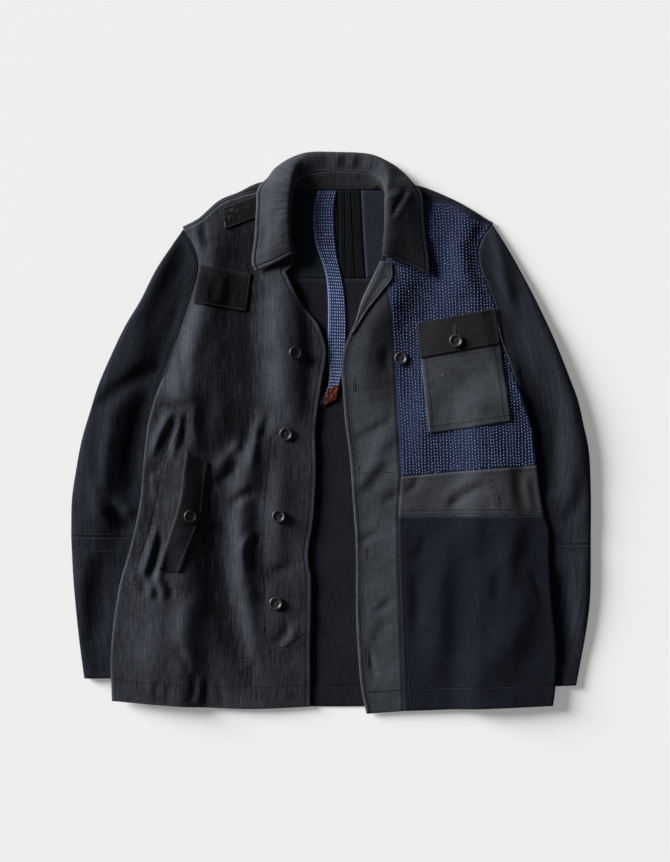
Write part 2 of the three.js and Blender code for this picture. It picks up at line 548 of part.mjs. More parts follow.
// Buttons: turned discs with a rim and a dished middle, each lying where it is sewn.
const buttonProfile = [
  [0, 0], [BUTTON_R - 1.6, 0], [BUTTON_R, 1.4], [BUTTON_R - 0.8, BUTTON_H], [BUTTON_R - 3.2, BUTTON_H - 0.5],
  [BUTTON_R - 4.4, BUTTON_H - 1.6], [0, BUTTON_H - 1.6],
].map(([r, z]) => new THREE.Vector2(r, z));
function button(name, x, y, height) {
  const disc = new THREE.LatheGeometry(buttonProfile, 16).rotateX(Math.PI / 2);
  const mesh = add(name, disc, COLOUR.button, 0.45);
  const slope = 6;
  const tiltX = Math.atan2(height(x, y + slope) - height(x, y - slope), 2 * slope);
  const tiltY = -Math.atan2(height(x + slope, y) - height(x - slope, y), 2 * slope);
  mesh.rotation.set(tiltX, tiltY, 0);
  mesh.position.set(x, y, height(x, y));
  return mesh;
}
const BUTTON_CLEAR = 1.5;
const overFront = (x, y) => frontZ(x, y) + CLOTH + BUTTON_CLEAR;
[[-50, 111], [-63, -2], [-73, -117], [-77, -239]].forEach(([x, y], k) =>
  button(`button_front_${k + 1}`, x, y, overFront));
button("button_loop", 98, 104, overFront);
button("button_pocket", 174.5, 128, (x, y) => onFront(x, y) + FLAP_RISE + CLOTH + BUTTON_CLEAR);
button("button_welt", -196, -117, (x, y) => onFront(x, y) + CLOTH + BUTTON_CLEAR);

export default jacket;
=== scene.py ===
from math import pi, radians
from types import SimpleNamespace
import bpy
import numpy as np
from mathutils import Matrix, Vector


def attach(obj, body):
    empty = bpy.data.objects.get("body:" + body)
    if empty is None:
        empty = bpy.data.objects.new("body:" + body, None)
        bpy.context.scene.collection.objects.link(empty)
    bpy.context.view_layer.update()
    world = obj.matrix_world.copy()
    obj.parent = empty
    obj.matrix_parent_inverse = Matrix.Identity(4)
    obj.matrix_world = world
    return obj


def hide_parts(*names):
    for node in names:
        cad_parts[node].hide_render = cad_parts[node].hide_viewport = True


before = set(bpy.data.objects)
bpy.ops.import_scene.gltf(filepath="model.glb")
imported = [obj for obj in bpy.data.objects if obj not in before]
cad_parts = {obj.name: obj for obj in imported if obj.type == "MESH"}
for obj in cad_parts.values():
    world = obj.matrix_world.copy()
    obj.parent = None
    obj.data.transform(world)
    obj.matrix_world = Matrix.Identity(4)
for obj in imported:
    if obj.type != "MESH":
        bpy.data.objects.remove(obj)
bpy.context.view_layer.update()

# Studio: a plain pale floor that glows a little, under a camera that looks straight down. A
# broad soft lamp stands low on the left, so every fold that faces it is light and every fold
# that faces away is dark; the room fills the rest evenly.
MM = 0.001
FLOOR_SIZE = 90
FLOOR_DROP = 0.4 * MM
bpy.ops.mesh.primitive_plane_add(size=FLOOR_SIZE, location=(0, 0, -FLOOR_DROP))
floor = bpy.context.object
floor.name = "pale_floor"
plaster = bpy.data.materials.new("pale_plaster")
plaster.use_nodes = True
plaster_shader = plaster.node_tree.nodes["Principled BSDF"]
plaster_shader.inputs["Base Color"].default_value = (0.6, 0.605, 0.605, 1)
plaster_shader.inputs["Emission Color"].default_value = (1, 1, 1, 1)
plaster_shader.inputs["Emission Strength"].default_value = 0.24
plaster_shader.inputs["Roughness"].default_value = 0.9
plaster_shader.inputs["Specular IOR Level"].default_value = 0.1
floor.data.materials.append(plaster)

camera = bpy.data.objects.new("camera", bpy.data.cameras.new("camera"))
camera.data.lens = 70
camera.data.sensor_width = 36
camera.location = (0.0056, 0.0021, 2.355)
bpy.context.collection.objects.link(camera)
bpy.context.scene.camera = camera

lamp = bpy.data.objects.new("window_light", bpy.data.lights.new("window_light", "SUN"))
lamp.data.energy = 9.4
lamp.data.angle = radians(26)
lamp.data.color = (1.0, 0.99, 0.975)
lamp.rotation_euler = Vector((-0.85, 0.42, 0.31)).to_track_quat("Z", "Y").to_euler()
bpy.context.collection.objects.link(lamp)
world = bpy.data.worlds.new("room")
bpy.context.scene.world = world
world.use_nodes = True
world.node_tree.nodes["Background"].inputs["Color"].default_value = (0.93, 0.97, 1.0, 1)
world.node_tree.nodes["Background"].inputs["Strength"].default_value = 0.1
bpy.context.scene.view_settings.view_transform = "Standard"


# Back: one wide plain-woven lower panel and three upper ones, joined by a seam below the
# shoulder blades. Only the inside shows between the fronts. It lies flat on the floor, and its
# sides ride over the sleeves that are tucked under them.
CLOTH = 1.5
SEAM = 0.3
SLEEVE_UNDER = 8.2
SIDE_LIFT = SLEEVE_UNDER + 0.9
BACK_INSET = 3.5
BACK_SEAM_Y = 216
NECK_Y = 341.3
YOKE_UNDER = 8
YOKE_SPACE = 1.5
SEAM_SHADE = (0.003, 0.003, 0.004)

RIGHT_SIDE = [[-306, -375], [-307, -304], [-295, -213], [-281, -164], [-266, -94], [-262, -45], [-256, 10]]
RIGHT_ARMHOLE = [[-256, 10], [-245, 50], [-225, 104], [-214, 136], [-193, 200], [-185, 230],
                 [-189, 255], [-206, 285]]
LEFT_SIDE = [[310, -382], [313, -360], [315, -310], [308, -234], [305, -178], [304, -136], [297, -116],
             [291, -80], [287, -46], [281, 5]]
LEFT_ARMHOLE = [[281, 5], [258, 76], [237, 136], [230, 178], [220, 206], [210, 230], [207, 255],
                [214, 275], [226, 291]]


def smooth(v):
    v = np.clip(v, 0, 1)
    return v * v * (3 - 2 * v)


def mix(a, b, t):
    return a + (b - a) * t


def run_length(line):
    """How far along the line each of its points lies."""
    return np.concatenate([[0], np.cumsum(np.linalg.norm(np.diff(line, axis=0), axis=1))])


def spline(points, n):
    """n + 1 points evenly spaced along a smooth line through the given ones."""
    p = np.array(points, float)
    p = np.vstack([2 * p[0] - p[1], p, 2 * p[-1] - p[-2]])
    knot = np.linalg.norm(np.diff(p, axis=0), axis=1) ** 0.5
    t = np.linspace(0, 1, 24, endpoint=False)[:, None]
    line = []
    for k in range(1, len(p) - 2):
        before, here, after = knot[k - 1:k + 2]
        a, b = p[k], p[k + 1]
        start = ((a - p[k - 1]) / before - (b - p[k - 1]) / (before + here) + (b - a) / here) * here
        end = ((b - a) / here - (p[k + 2] - a) / (here + after) + (p[k + 2] - b) / after) * here
        line.append(a + start * t + (3 * (b - a) - 2 * start - end) * t**2
                    + (2 * (a - b) + start + end) * t**3)
    line = np.vstack([*line, p[-2:-1]])
    length = run_length(line)
    places = np.linspace(0, length[-1], n + 1)
    return np.stack([np.interp(places, length, line[:, axis]) for axis in range(p.shape[1])], axis=1)


def joined(*stretches):
    """Stretches of (points, steps) end to end, with the corners between them kept."""
    return np.vstack([spline(points, n)[min(k, 1):] for k, (points, n) in enumerate(stretches)])


def fill(foot, right, head, left):
    """A grid that fills four edges: foot and head run left to right, both sides run upwards."""
    u = np.linspace(0, 1, len(foot))[None, :, None]
    v = np.linspace(0, 1, len(left))[:, None, None]
    foot, head, left, right = foot[None], head[None], left[:, None], right[:, None]
    return ((1 - v) * foot + v * head + (1 - u) * left + u * right
            - (1 - u) * (1 - v) * foot[:, :1] - u * (1 - v) * foot[:, -1:]
            - (1 - u) * v * head[:, :1] - u * v * head[:, -1:])


def draw_in(grid, by=0.6 * SEAM):
    """The grid with its border moved in, to leave the seam's space."""
    moved = grid.copy()
    for edge, inner in ((np.s_[:, 0], np.s_[:, 1]), (np.s_[:, -1], np.s_[:, -2]),
                        (np.s_[0], np.s_[1]), (np.s_[-1], np.s_[-2])):
        step = grid[inner] - grid[edge]
        moved[edge] += by * step / np.linalg.norm(step, axis=-1, keepdims=True)
    return moved


def x_at(line, y):
    line = np.array(sorted(map(tuple, line), key=lambda p: p[1]))
    return np.interp(y, line[:, 1], line[:, 0])


def crumple(x, y, size, seed):
    """Soft bumps between -1 and 1, about size mm across."""
    lattice = np.random.default_rng(seed).uniform(-1, 1, (128, 128))
    u, v = x / size + 64, y / size + 64
    i, j = np.floor(u).astype(int) % 127, np.floor(v).astype(int) % 127
    s, t = smooth(u % 1), smooth(v % 1)
    low = mix(lattice[i, j], lattice[i + 1, j], s)
    return mix(low, mix(lattice[i, j + 1], lattice[i + 1, j + 1], s), t)


def gap_to(points, line):
    """Distance from each point to a line of points."""
    a, b = line[:-1], line[1:]
    run = b - a
    size = np.maximum((run ** 2).sum(-1), 1e-9)
    best = np.full(len(points), 1e9)
    for k in range(len(a)):
        off = points - a[k]
        t = np.clip(off @ run[k] / size[k], 0, 1)
        best = np.minimum(best, ((off - t[:, None] * run[k]) ** 2).sum(-1))
    return np.sqrt(best)


def wall(name, low, top, cloth=None, tube=False, lines=()):
    """A closed wall of cloth between two grids of points in mm, with a rounded rim.
    It keeps its cloth coordinates, each point's distance from its four edges, and its
    distance from the stitched lines."""
    rows, cols = low.shape[:2]
    ids = np.arange(rows * cols).reshape(rows, cols)
    if tube:
        ids = np.hstack([ids, ids[:, :1]])
    wide = ids.shape[1]
    cloth = low[..., :2] if cloth is None else cloth
    spot = np.arange(rows * wide).reshape(rows, wide)
    upper = np.stack([spot[:-1, :-1], spot[:-1, 1:], spot[1:, 1:], spot[1:, :-1]], -1).reshape(-1, 4)
    faces = [upper[:, ::-1], upper + rows * wide]
    vertex = [ids.ravel(), ids.ravel() + rows * cols]
    middle = (low + top) / 2
    points, weave = [low.reshape(-1, 3), top.reshape(-1, 3)], [cloth.reshape(-1, 2)] * 2
    if tube:
        borders = [spot[0], spot[-1, ::-1]]
    else:
        borders = [np.concatenate([spot[0], spot[1:, -1], spot[-1, -2::-1], spot[-2::-1, 0]])]
    for border in borders:
        i, j = border // wide, border % wide
        inner = middle[np.clip(i, 1, rows - 2), (j % cols) if tube else np.clip(j, 1, cols - 2)]
        out = middle[i, j % cols] - inner
        out /= np.linalg.norm(out, axis=1, keepdims=True)
        made = sum(map(len, points)) + np.arange(len(border) - 1)
        points.append((middle[i, j % cols] + 0.42 * CLOTH * out)[:-1])
        rim = sum(map(len, vertex)) + np.arange(len(border))
        vertex.append(np.append(made, made[0]))
        weave.append(cloth.reshape(-1, 2)[border])
        for under, over in ((border, rim), (rim, border + rows * wide)):
            faces.append(np.stack([under[:-1], under[1:], over[1:], over[:-1]], -1))
    faces, vertex, weave = np.vstack(faces), np.concatenate(vertex), np.vstack(weave)
    points = np.vstack(points)
    a, b, c, d = points[vertex[faces]].transpose(1, 0, 2)
    if ((np.cross(b, c) + np.cross(c, d)) * a).sum() + (np.cross(c, d) * b).sum() < 0:
        faces = faces[:, ::-1]
    mesh = bpy.data.meshes.new(name)
    mesh.from_pydata((points * MM).tolist(), [], vertex[faces].tolist())
    mesh.uv_layers.new(name="cloth").data.foreach_set("uv", weave[faces.ravel()].ravel())
    edges = np.full((len(points), 4), 99.0)
    surface = top.reshape(-1, 3)
    sides = [top[0], top[:, -1], top[-1], top[:, 0]] if not tube else [top[0], None, top[-1], None]
    for k, side in enumerate(sides):
        if side is None:
            continue
        ring = np.vstack([side, side[:1]]) if tube else side
        away = gap_to(surface, ring)
        edges[:rows * cols, k] = away
        edges[rows * cols:2 * rows * cols, k] = away
    for border in ([] if tube else borders):
        i, j = border[:-1] // wide, border[:-1] % wide
        edges[2 * rows * cols:] = edges[i * cols + j]
    mesh.color_attributes.new("edges", "FLOAT_COLOR", "POINT").data.foreach_set("color", edges.ravel())
    near = np.full(len(points), 99.0)
    for line in lines:
        near = np.minimum(near, gap_to(points[:, :line.shape[1]], line))
    mesh.attributes.new("stitched", "FLOAT", "POINT").data.foreach_set("value", near)
    mesh.shade_smooth()
    piece = bpy.data.objects.new(name, mesh)
    bpy.context.collection.objects.link(piece)
    return piece


class Socket:
    """One output of a shader node: arithmetic on it adds Math nodes."""

    def __init__(self, tree, out=None):
        self.tree, self.out = tree, out

    def node(self, kind, settings=None, sockets=None, out=0):
        made = self.tree.nodes.new("ShaderNode" + kind)
        for key, value in (settings or {}).items():
            if key == "stops":
                ramp = made.color_ramp.elements
                while len(ramp) < len(value):
                    ramp.new(0.5)
                for stop, (place, colour) in zip(ramp, value):
                    stop.position, stop.color = place, (*colour, 1)
            else:
                setattr(made, key, value)
        for key, value in (sockets or {}).items():
            if isinstance(value, Socket):
                self.tree.links.new(value.out, made.inputs[key])
            else:
                made.inputs[key].default_value = value
        return Socket(self.tree, made.outputs[out] if made.outputs else None)

    def math(self, operation, *others):
        return self.node("Math", {"operation": operation}, dict(enumerate((self, *others))))

    def __add__(self, other):
        return self.math("ADD", other)

    def __mul__(self, other):
        return self.math("MULTIPLY", other)

    def __sub__(self, other):
        return self.math("SUBTRACT", other)

    def __rsub__(self, other):
        return (self * -1) + other

    def __truediv__(self, other):
        return self.math("DIVIDE", other)

    __radd__, __rmul__ = __add__, __mul__

    def within(self, low=0.0, high=1.0):
        """The value held between two numbers."""
        return self.math("MAXIMUM", low).math("MINIMUM", high)

    def between(self, low, high):
        """0 at low, 1 at high, and held there."""
        return ((self - low) * (1 / (high - low))).within()

    def wave(self, pitch):
        return (self * (2 * pi / pitch)).math("SINE") * 0.5 + 0.5

    def at(self, place, half):
        """1 on a line at that distance, fading to 0 half a width away."""
        return (1 - (self - place).math("ABSOLUTE") / half).math("MAXIMUM", 0)

    def to(self, dark, light):
        """A colour between two, mixed by this value."""
        return self.node("Mix", {"data_type": "RGBA"}, {0: self, 6: (*dark, 1), 7: (*light, 1)}, out=2)

    def over(self, colour, other):
        """The other colour laid over a colour where this value is 1."""
        other = other if isinstance(other, Socket) else (*other, 1)
        return self.node("Mix", {"data_type": "RGBA"}, {0: self, 6: colour, 7: other}, out=2)


def new_finish(name):
    """A bare material with its cloth coordinates u and v, and its distances from foot, right,
    head and left edges and from stitched lines, all in mm, and how far it stands proud."""
    material = bpy.data.materials.new(name)
    material.use_nodes = True
    material.node_tree.nodes.clear()
    first = Socket(material.node_tree)
    uv = first.node("UVMap", {"uv_map": "cloth"})
    u, v = (first.node("SeparateXYZ", {}, {0: uv}, out=k) for k in (0, 1))
    edges = first.node("Attribute", {"attribute_name": "edges"})
    foot, right, head = (first.node("SeparateColor", {}, {0: edges}, out=k) for k in range(3))
    left = first.node("Attribute", {"attribute_name": "edges"}, out=3)
    line = first.node("Attribute", {"attribute_name": "stitched"}, out=2)
    proud = first.node("Attribute", {"attribute_name": "proud"}, out=2)
    edge = foot.math("MINIMUM", right).math("MINIMUM", head).math("MINIMUM", left)
    return SimpleNamespace(material=material, first=first, uv=uv, u=u, v=v, foot=foot, right=right,
                           head=head, left=left, line=line, edge=edge, proud=proud)


def noise(f, across, along, seed=0.0, detail=2.0, rough=0.5):
    """Noise whose grains are about across mm wide and along mm long."""
    spread = f.uv.node("Mapping", {}, {"Vector": f.uv, "Location": (seed, 1.7 * seed, seed),
                                       "Scale": (1 / across, 1 / along, 1)})
    return f.uv.node("TexNoise", {}, {"Vector": spread, "Scale": 1.0, "Detail": detail, "Roughness": rough})


def close(f, colour, roughness, height, sheen=0.02, shine=0.04):
    """Ends a material: height is in mm of relief."""
    relief = f.first.node("Bump", {}, {"Strength": 1.0, "Distance": MM, "Height": height})
    shader = f.first.node("BsdfPrincipled", {}, {
        "Base Color": colour, "Roughness": roughness, "Normal": relief, "Specular IOR Level": shine,
        "Sheen Weight": sheen, "Sheen Roughness": 0.6})
    f.first.node("OutputMaterial", {}, {0: shader})
    return f.material


def mark_fold_wear_and_shade(piece, folds):
    """Marks where folds stand proud (+) or lie low (-). The colour follows them: paler ridges are partly wear and
    partly painted light, and darker troughs are painted shade.
    """
    at = np.empty(len(piece.data.vertices) * 3)
    piece.data.vertices.foreach_get("co", at)
    x, y = at.reshape(-1, 3)[:, :2].T / MM
    height = np.clip(folds(x, y) / 4, -1, 1)
    piece.data.attributes.new("proud", "FLOAT", "POINT").data.foreach_set("value", height)


def plain_weave(f, dark, light, grain=1.0, seed=0.0, cross=0.5):
    """Even cloth of slubby thread: colour, roughness and relief."""
    warp = noise(f, 1.1 * grain, 26 * grain, seed, 3)
    weft = noise(f, 24 * grain, 1.1 * grain, seed + 3, 3)
    faded = noise(f, 55, 70, seed + 6)
    value = (warp.between(0.3, 0.7) * (1 - cross) + weft.between(0.3, 0.7) * cross) * 0.75 + faded * 0.5
    worn = (1 - f.edge.between(0, 3.5)) * 0.4
    # f.proud paints light on the ridges of folds and shade in their troughs; the paler ridges are partly wear.
    colour = (value - 0.12 + worn + f.proud * 0.3).within().to(dark, light)
    threads = f.u.wave(1.1 * grain) * f.v.wave(1.1 * grain)
    rumple = noise(f, 14, 18, seed + 9, 2) * 0.5
    return colour, 0.86 + 0.1 * value, (warp + weft) * 0.08 + threads * 0.03 + rumple


def lay(piece, node, finish, area=None):
    """Gives a cloth piece its finish, hangs it under the root body and hides the model's part that it replaces.
    """
    piece.data.materials.append(finish)
    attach(piece, "root")
    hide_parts(node)


def back_z(x, y):
    """Underside of the back: flat on the floor, and lifted over the sleeves at its sides."""
    return SIDE_LIFT * smooth((np.abs(x) - 166) / 44) * (1 - smooth((y - 36) / 50))


def back_rumple(x, y):
    return 0.45 * (1 + crumple(x, y, 34, 3)) * smooth((150 - np.abs(x - 15)) / 60)


def on(grid, under, thickness=CLOTH):
    """Low and top points of a panel whose underside follows a height function."""
    grid = draw_in(grid)
    x, y = grid[..., 0], grid[..., 1]
    low = np.dstack([x, y, under(x, y)])
    return low, low + np.array([0, 0, thickness])


def back_under(x, y):
    return back_z(x, y) + back_rumple(x, y)


def up_to(line, top):
    return [p for p in line if p[1] < top - 6] + [[float(x_at(line, top)), top]]


right_back_armhole = [[x + BACK_INSET, y] for x, y in RIGHT_ARMHOLE]
left_back_armhole = [[x - BACK_INSET, y] for x, y in LEFT_ARMHOLE]
seam_left = [float(x_at(right_back_armhole, BACK_SEAM_Y)), BACK_SEAM_Y]
seam_right = [float(x_at(left_back_armhole, BACK_SEAM_Y)), BACK_SEAM_Y]
BACK_HEM = [[-306, -371], [-200, -379], [-29, -384], [43, -384], [200, -382], [310, -378]]
hem_stitches = np.array([[-306.0, -349], [-29, -356], [43, -356], [310, -350]])
back_lower = wall("back_lower_cloth", *on(fill(
    spline(BACK_HEM, 96),
    joined(([[310, -378], *LEFT_SIDE[2:]], 60), (up_to(left_back_armhole, BACK_SEAM_Y), 30)),
    spline([seam_left, seam_right], 96),
    joined(([[-306, -371], *RIGHT_SIDE[1:]], 60), (up_to(right_back_armhole, BACK_SEAM_Y), 30)),
), back_under), lines=[hem_stitches])
f = new_finish("inside_navy")
colour, roughness, relief = plain_weave(f, (0.0045, 0.0052, 0.0068), (0.0135, 0.0155, 0.0205), seed=1)
relief = relief - f.foot.at(28, 2.2) * 0.5 + (1 - f.foot.between(2, 5)) * 0.3 - (1 - f.head.between(0, 4)) * 0.7
lay(back_lower, "back_lower", close(f, colour, roughness, relief),
    area=0.328)


def below_yoke(line):
    return [[x, y - YOKE_UNDER - YOKE_SPACE] for x, y in line]


right_top = below_yoke([[-194, 282], [-183, 293], [-153, 316], [-102, 335], [-60, 341]])
left_top = below_yoke([[214, 285], [206, 293], [174, 312], [129, 325], [80, 337]])
STRIP_LEFT = [[12, BACK_SEAM_Y], [11, 280], [10, NECK_Y]]
STRIP_RIGHT = [[49, BACK_SEAM_Y], [45, 280], [42, NECK_Y]]
back_upper_right = wall("back_upper_right_cloth", *on(fill(
    spline([seam_left, [12, BACK_SEAM_Y]], 44),
    spline(STRIP_LEFT, 26),
    joined((right_top, 30), ([right_top[-1], [-57, 339.8], [-50, NECK_Y], [10, NECK_Y]], 14)),
    spline([seam_left, [-181, 232], [-184, 252], right_top[0]], 26),
), back_under))
f = new_finish("inside_dark")
colour, roughness, relief = plain_weave(f, (0.007, 0.0105, 0.0135), (0.017, 0.023, 0.028), seed=21, cross=0.7)
relief = relief - (1 - f.foot.between(0, 4)) * 0.7 - (1 - f.right.between(0, 3)) * 0.5
lay(back_upper_right, "back_upper_right", close(f, colour, roughness, relief),
    area=0.0218)

back_centre_strip = wall("back_centre_strip_cloth", *on(fill(
    spline([[12, BACK_SEAM_Y], [49, BACK_SEAM_Y]], 12), spline(STRIP_RIGHT, 34),
    spline([[10, NECK_Y], [42, NECK_Y]], 12), spline(STRIP_LEFT, 34),
), lambda x, y: back_under(x, y) + 0.6 * smooth(1 - np.abs(x - 27) / 7)))
f = new_finish("centre_strip_slub")
colour, roughness, relief = plain_weave(f, (0.0015, 0.0017, 0.0019), (0.008, 0.0087, 0.0092), seed=31, cross=0.25)
pleat = f.right.at(14, 1.6) + f.left.at(9, 1.4)
relief = relief - pleat * 0.8 - (1 - f.edge.between(0, 3)) * 0.6
lay(back_centre_strip, "back_centre_strip",
    close(f, (pleat * 0.7).over(colour, SEAM_SHADE), roughness, relief))

back_upper_left = wall("back_upper_left_cloth", *on(fill(
    spline([[49, BACK_SEAM_Y], seam_right], 40),
    spline([seam_right, [205, 232], [203, 252], left_top[0]], 26),
    joined(([[42, NECK_Y], [72, NECK_Y], [78, 338.4], left_top[-1]], 12), (left_top[::-1], 28)),
    spline(STRIP_RIGHT, 26),
), back_under))
f = new_finish("inside_slate")
colour, roughness, relief = plain_weave(f, (0.0075, 0.009, 0.0145), (0.024, 0.0275, 0.0405), seed=41)
relief = relief - (1 - f.edge.between(0, 4)) * 0.7
lay(back_upper_left, "back_upper_left", close(f, colour, roughness, relief),
    area=0.0167)


# Strap and tab: a strip of indigo cloth quilted with rows of pale running stitch, sewn down the
# inside of the back. Its left edge is bound in pale blue, and a small orange woven tab with a
# plain zigzag covers its lower end.
STRAP_LEFT = [[-17, 38], [-3, 70], [-4, 115], [-6, 216], [-22, 270], [-24, 318], [-18, 339]]
STRAP_RIGHT = [[8, 52], [17, 94], [21, 140], [18, 200], [7, 255], [4, 318], [8, 339]]
STRAP_CLOTH = 1.2


def on_back(x, y):
    return back_under(x, y) + CLOTH + SEAM


def on_strap(x, y):
    return on_back(x, y) + STRAP_CLOTH + SEAM


def thread_finish(name, dark, light, shine=0.2):
    """Twisted sewing thread."""
    f = new_finish(name)
    tone = noise(f, 5, 5, 2, 1)
    return close(f, tone.between(0.25, 0.75).to(dark, light), 0.8 + 0.1 * tone, tone * 0.2, 0.1, shine)


def stitches(name, at, along, finish, length=2.4, width=0.8, high=0.5, seed=1, loose=0.04):
    """Short threads lying at points, each along its own direction, joined in one mesh."""
    rng = np.random.default_rng(seed)
    turn = np.arange(5) * 2 * pi / 5
    ring = np.stack([np.zeros(5), 0.5 * np.cos(turn), 0.5 * np.sin(turn) + 0.35], -1)
    form = np.vstack([[[-0.5, 0, -0.3]], ring - [0.3, 0, 0], ring + [0.3, 0, 0], [[0.5, 0, -0.3]]])
    along = along / np.linalg.norm(along, axis=1, keepdims=True)
    side = np.cross([0, 0, 1.0], along)
    side += along * rng.normal(0, loose, (len(at), 1))
    side /= np.linalg.norm(side, axis=1, keepdims=True)
    up = np.cross(along, side)
    size = length * rng.uniform(0.88, 1.1, (len(at), 1, 1))
    points = (at[:, None] + form[None, :, :1] * size * along[:, None]
              + form[None, :, 1:2] * width * side[:, None] + form[None, :, 2:] * high * up[:, None])
    faces = []
    for k in range(5):
        n = (k + 1) % 5
        faces += [(0, 1 + n, 1 + k), (1 + k, 1 + n, 6 + n, 6 + k), (11, 6 + k, 6 + n)]
    mesh = bpy.data.meshes.new(name)
    mesh.from_pydata((points.reshape(-1, 3) * MM).tolist(), [],
                     [tuple(c + 12 * k for c in face) for k in range(len(at)) for face in faces])
    tone = np.repeat(rng.uniform(0, 200, (len(at), 2)), 12, axis=0)
    corners = np.array([c.vertex_index for c in mesh.loops])
    mesh.uv_layers.new(name="cloth").data.foreach_set("uv", tone[corners].ravel())
    mesh.shade_smooth()
    mesh.materials.append(finish)
    piece = bpy.data.objects.new(name, mesh)
    bpy.context.collection.objects.link(piece)
    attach(piece, "root")
    return piece


def pace(lines, step, phase=0.5):
    """Places and directions every step mm along lines of 3-D points."""
    at, along = [], []
    for line in lines:
        length = run_length(line)
        place = np.arange(phase * step, length[-1] - 0.3 * step, step)
        there = lambda d: np.stack([np.interp(d, length, line[:, a]) for a in range(3)], -1)
        at.append(there(place))
        along.append(there(place + 1.2) - there(place - 1.2))
    return np.vstack(at), np.vstack(along)


strap_grid = fill(spline([[-17, 38], [8, 52]], 12), spline(STRAP_RIGHT, 96),
                  spline([[-18, 339], [8, 339]], 12), spline(STRAP_LEFT, 96))
inner_strap = wall("inner_strap_cloth", *on(strap_grid, on_back, STRAP_CLOTH))
indigo_dark, indigo_light = (0.0055, 0.0085, 0.0225), (0.0165, 0.0245, 0.058)
f = new_finish("strap_indigo")
# The strap's indigo is given lighter than the sashiko's: painted light where the collar and right front shade it.
colour, roughness, relief = plain_weave(f, (0.012, 0.0185, 0.048), (0.034, 0.05, 0.12), seed=51)
bound = 1 - f.left.between(1.6, 2.4)
colour = (bound * 0.85).over(colour, (0.11, 0.16, 0.30))
lay(inner_strap, "inner_strap", close(f, colour, roughness, relief + bound * 0.6))

pale_thread = thread_finish("pale_blue_thread", (0.065, 0.093, 0.185), (0.185, 0.235, 0.375))
# Its running stitch is given paler than the sashiko thread, also as painted light on the shaded strap.
strap_thread = thread_finish("strap_thread", (0.15, 0.21, 0.38), (0.40, 0.50, 0.72))
strap_rows = []
for k, across in enumerate(np.linspace(0.14, 0.92, 7)):
    line = mix(strap_grid[:, 0], strap_grid[:, -1], across)
    line = np.column_stack([line, on_back(*line.T) + STRAP_CLOTH])
    strap_rows.append(pace([line], 4.43, 0.3 if k % 2 else 0.8))
strap_stitches = stitches("strap_running_stitch", np.vstack([r[0] for r in strap_rows]),
                          np.vstack([r[1] for r in strap_rows]), strap_thread, 2.3, 1.15, 0.6, 5, 0.12)

tab = wall("strap_end_tab_cloth", *on(fill(
    spline([[-11, 37], [7, 46]], 9), spline([[7, 46], [13, 68]], 11),
    spline([[-4, 61], [13, 68]], 9), spline([[-11, 37], [-4, 61]], 11)), on_strap, STRAP_CLOTH))
f = new_finish("orange_tab_weave")
zigzag = (f.u + (f.v.wave(9) * 3)).wave(6.5).between(0.6, 0.85) * noise(f, 5, 7, 9).between(0.47, 0.6)
colour = noise(f, 2, 3, 7).to((0.012, 0.0045, 0.0045), (0.062, 0.015, 0.0095))
lay(tab, "strap_end_tab",
    close(f, zigzag.over(colour, (0.27, 0.06, 0.016)), 0.85 + 0.1 * zigzag,
          zigzag * 0.3 + f.v.wave(1.2) * 0.15))


# Right front: one wide panel of dark slub stripe from shoulder to hem, its front edge turned in
# and stitched, a facing stitched down inside it, and the bag of the slanted pocket stitched
# through at its side. Most of the jacket's soft folds run down it.
BODY_GAP = 7
HEM_GAP = 4.8
EDGE_GAP = 4.4
SHOULDER_GAP = 4.6
HEM_TURN = 29
EDGE_ROW = 5.6
THREAD_LIFT = 0.1
RIGHT_SHOULDER = [[-206, 285], [-183, 296], [-153, 321], [-127, 331], [-102, 337], [-60, 342]]
RIGHT_NECK = [[-60, 342], [-61, 297], [-58, 262], [-54, 246]]
RIGHT_CORNER = [[-64, 225], [-55, 234], [-54, 246]]
RIGHT_EDGE = [[-29, -384], [-29, -290], [-28, -206], [-32, -172], [-25, -122], [-21, -52], [-22, 4],
              [-14, 66], [-7, 111], [-10, 130], [-18, 150], [-43, 183], [-64, 225]]
RIGHT_HEM = [[-306, -375], [-204, -383], [-113, -387], [-29, -384]]
LEFT_SHOULDER = [[226, 291], [206, 296], [174, 317], [129, 327], [79, 338]]
LEFT_EDGE = [[50, -394], [43, -360], [39, -318], [36, -262], [35, -150], [31, -94], [27, -38], [20, 18],
             [17, 60], [15, 85], [18, 115], [27, 139], [35, 157], [43, 185], [56, 213], [69, 240], [72, 248]]
FULLNESS = 1.5
CREASING = 1.9
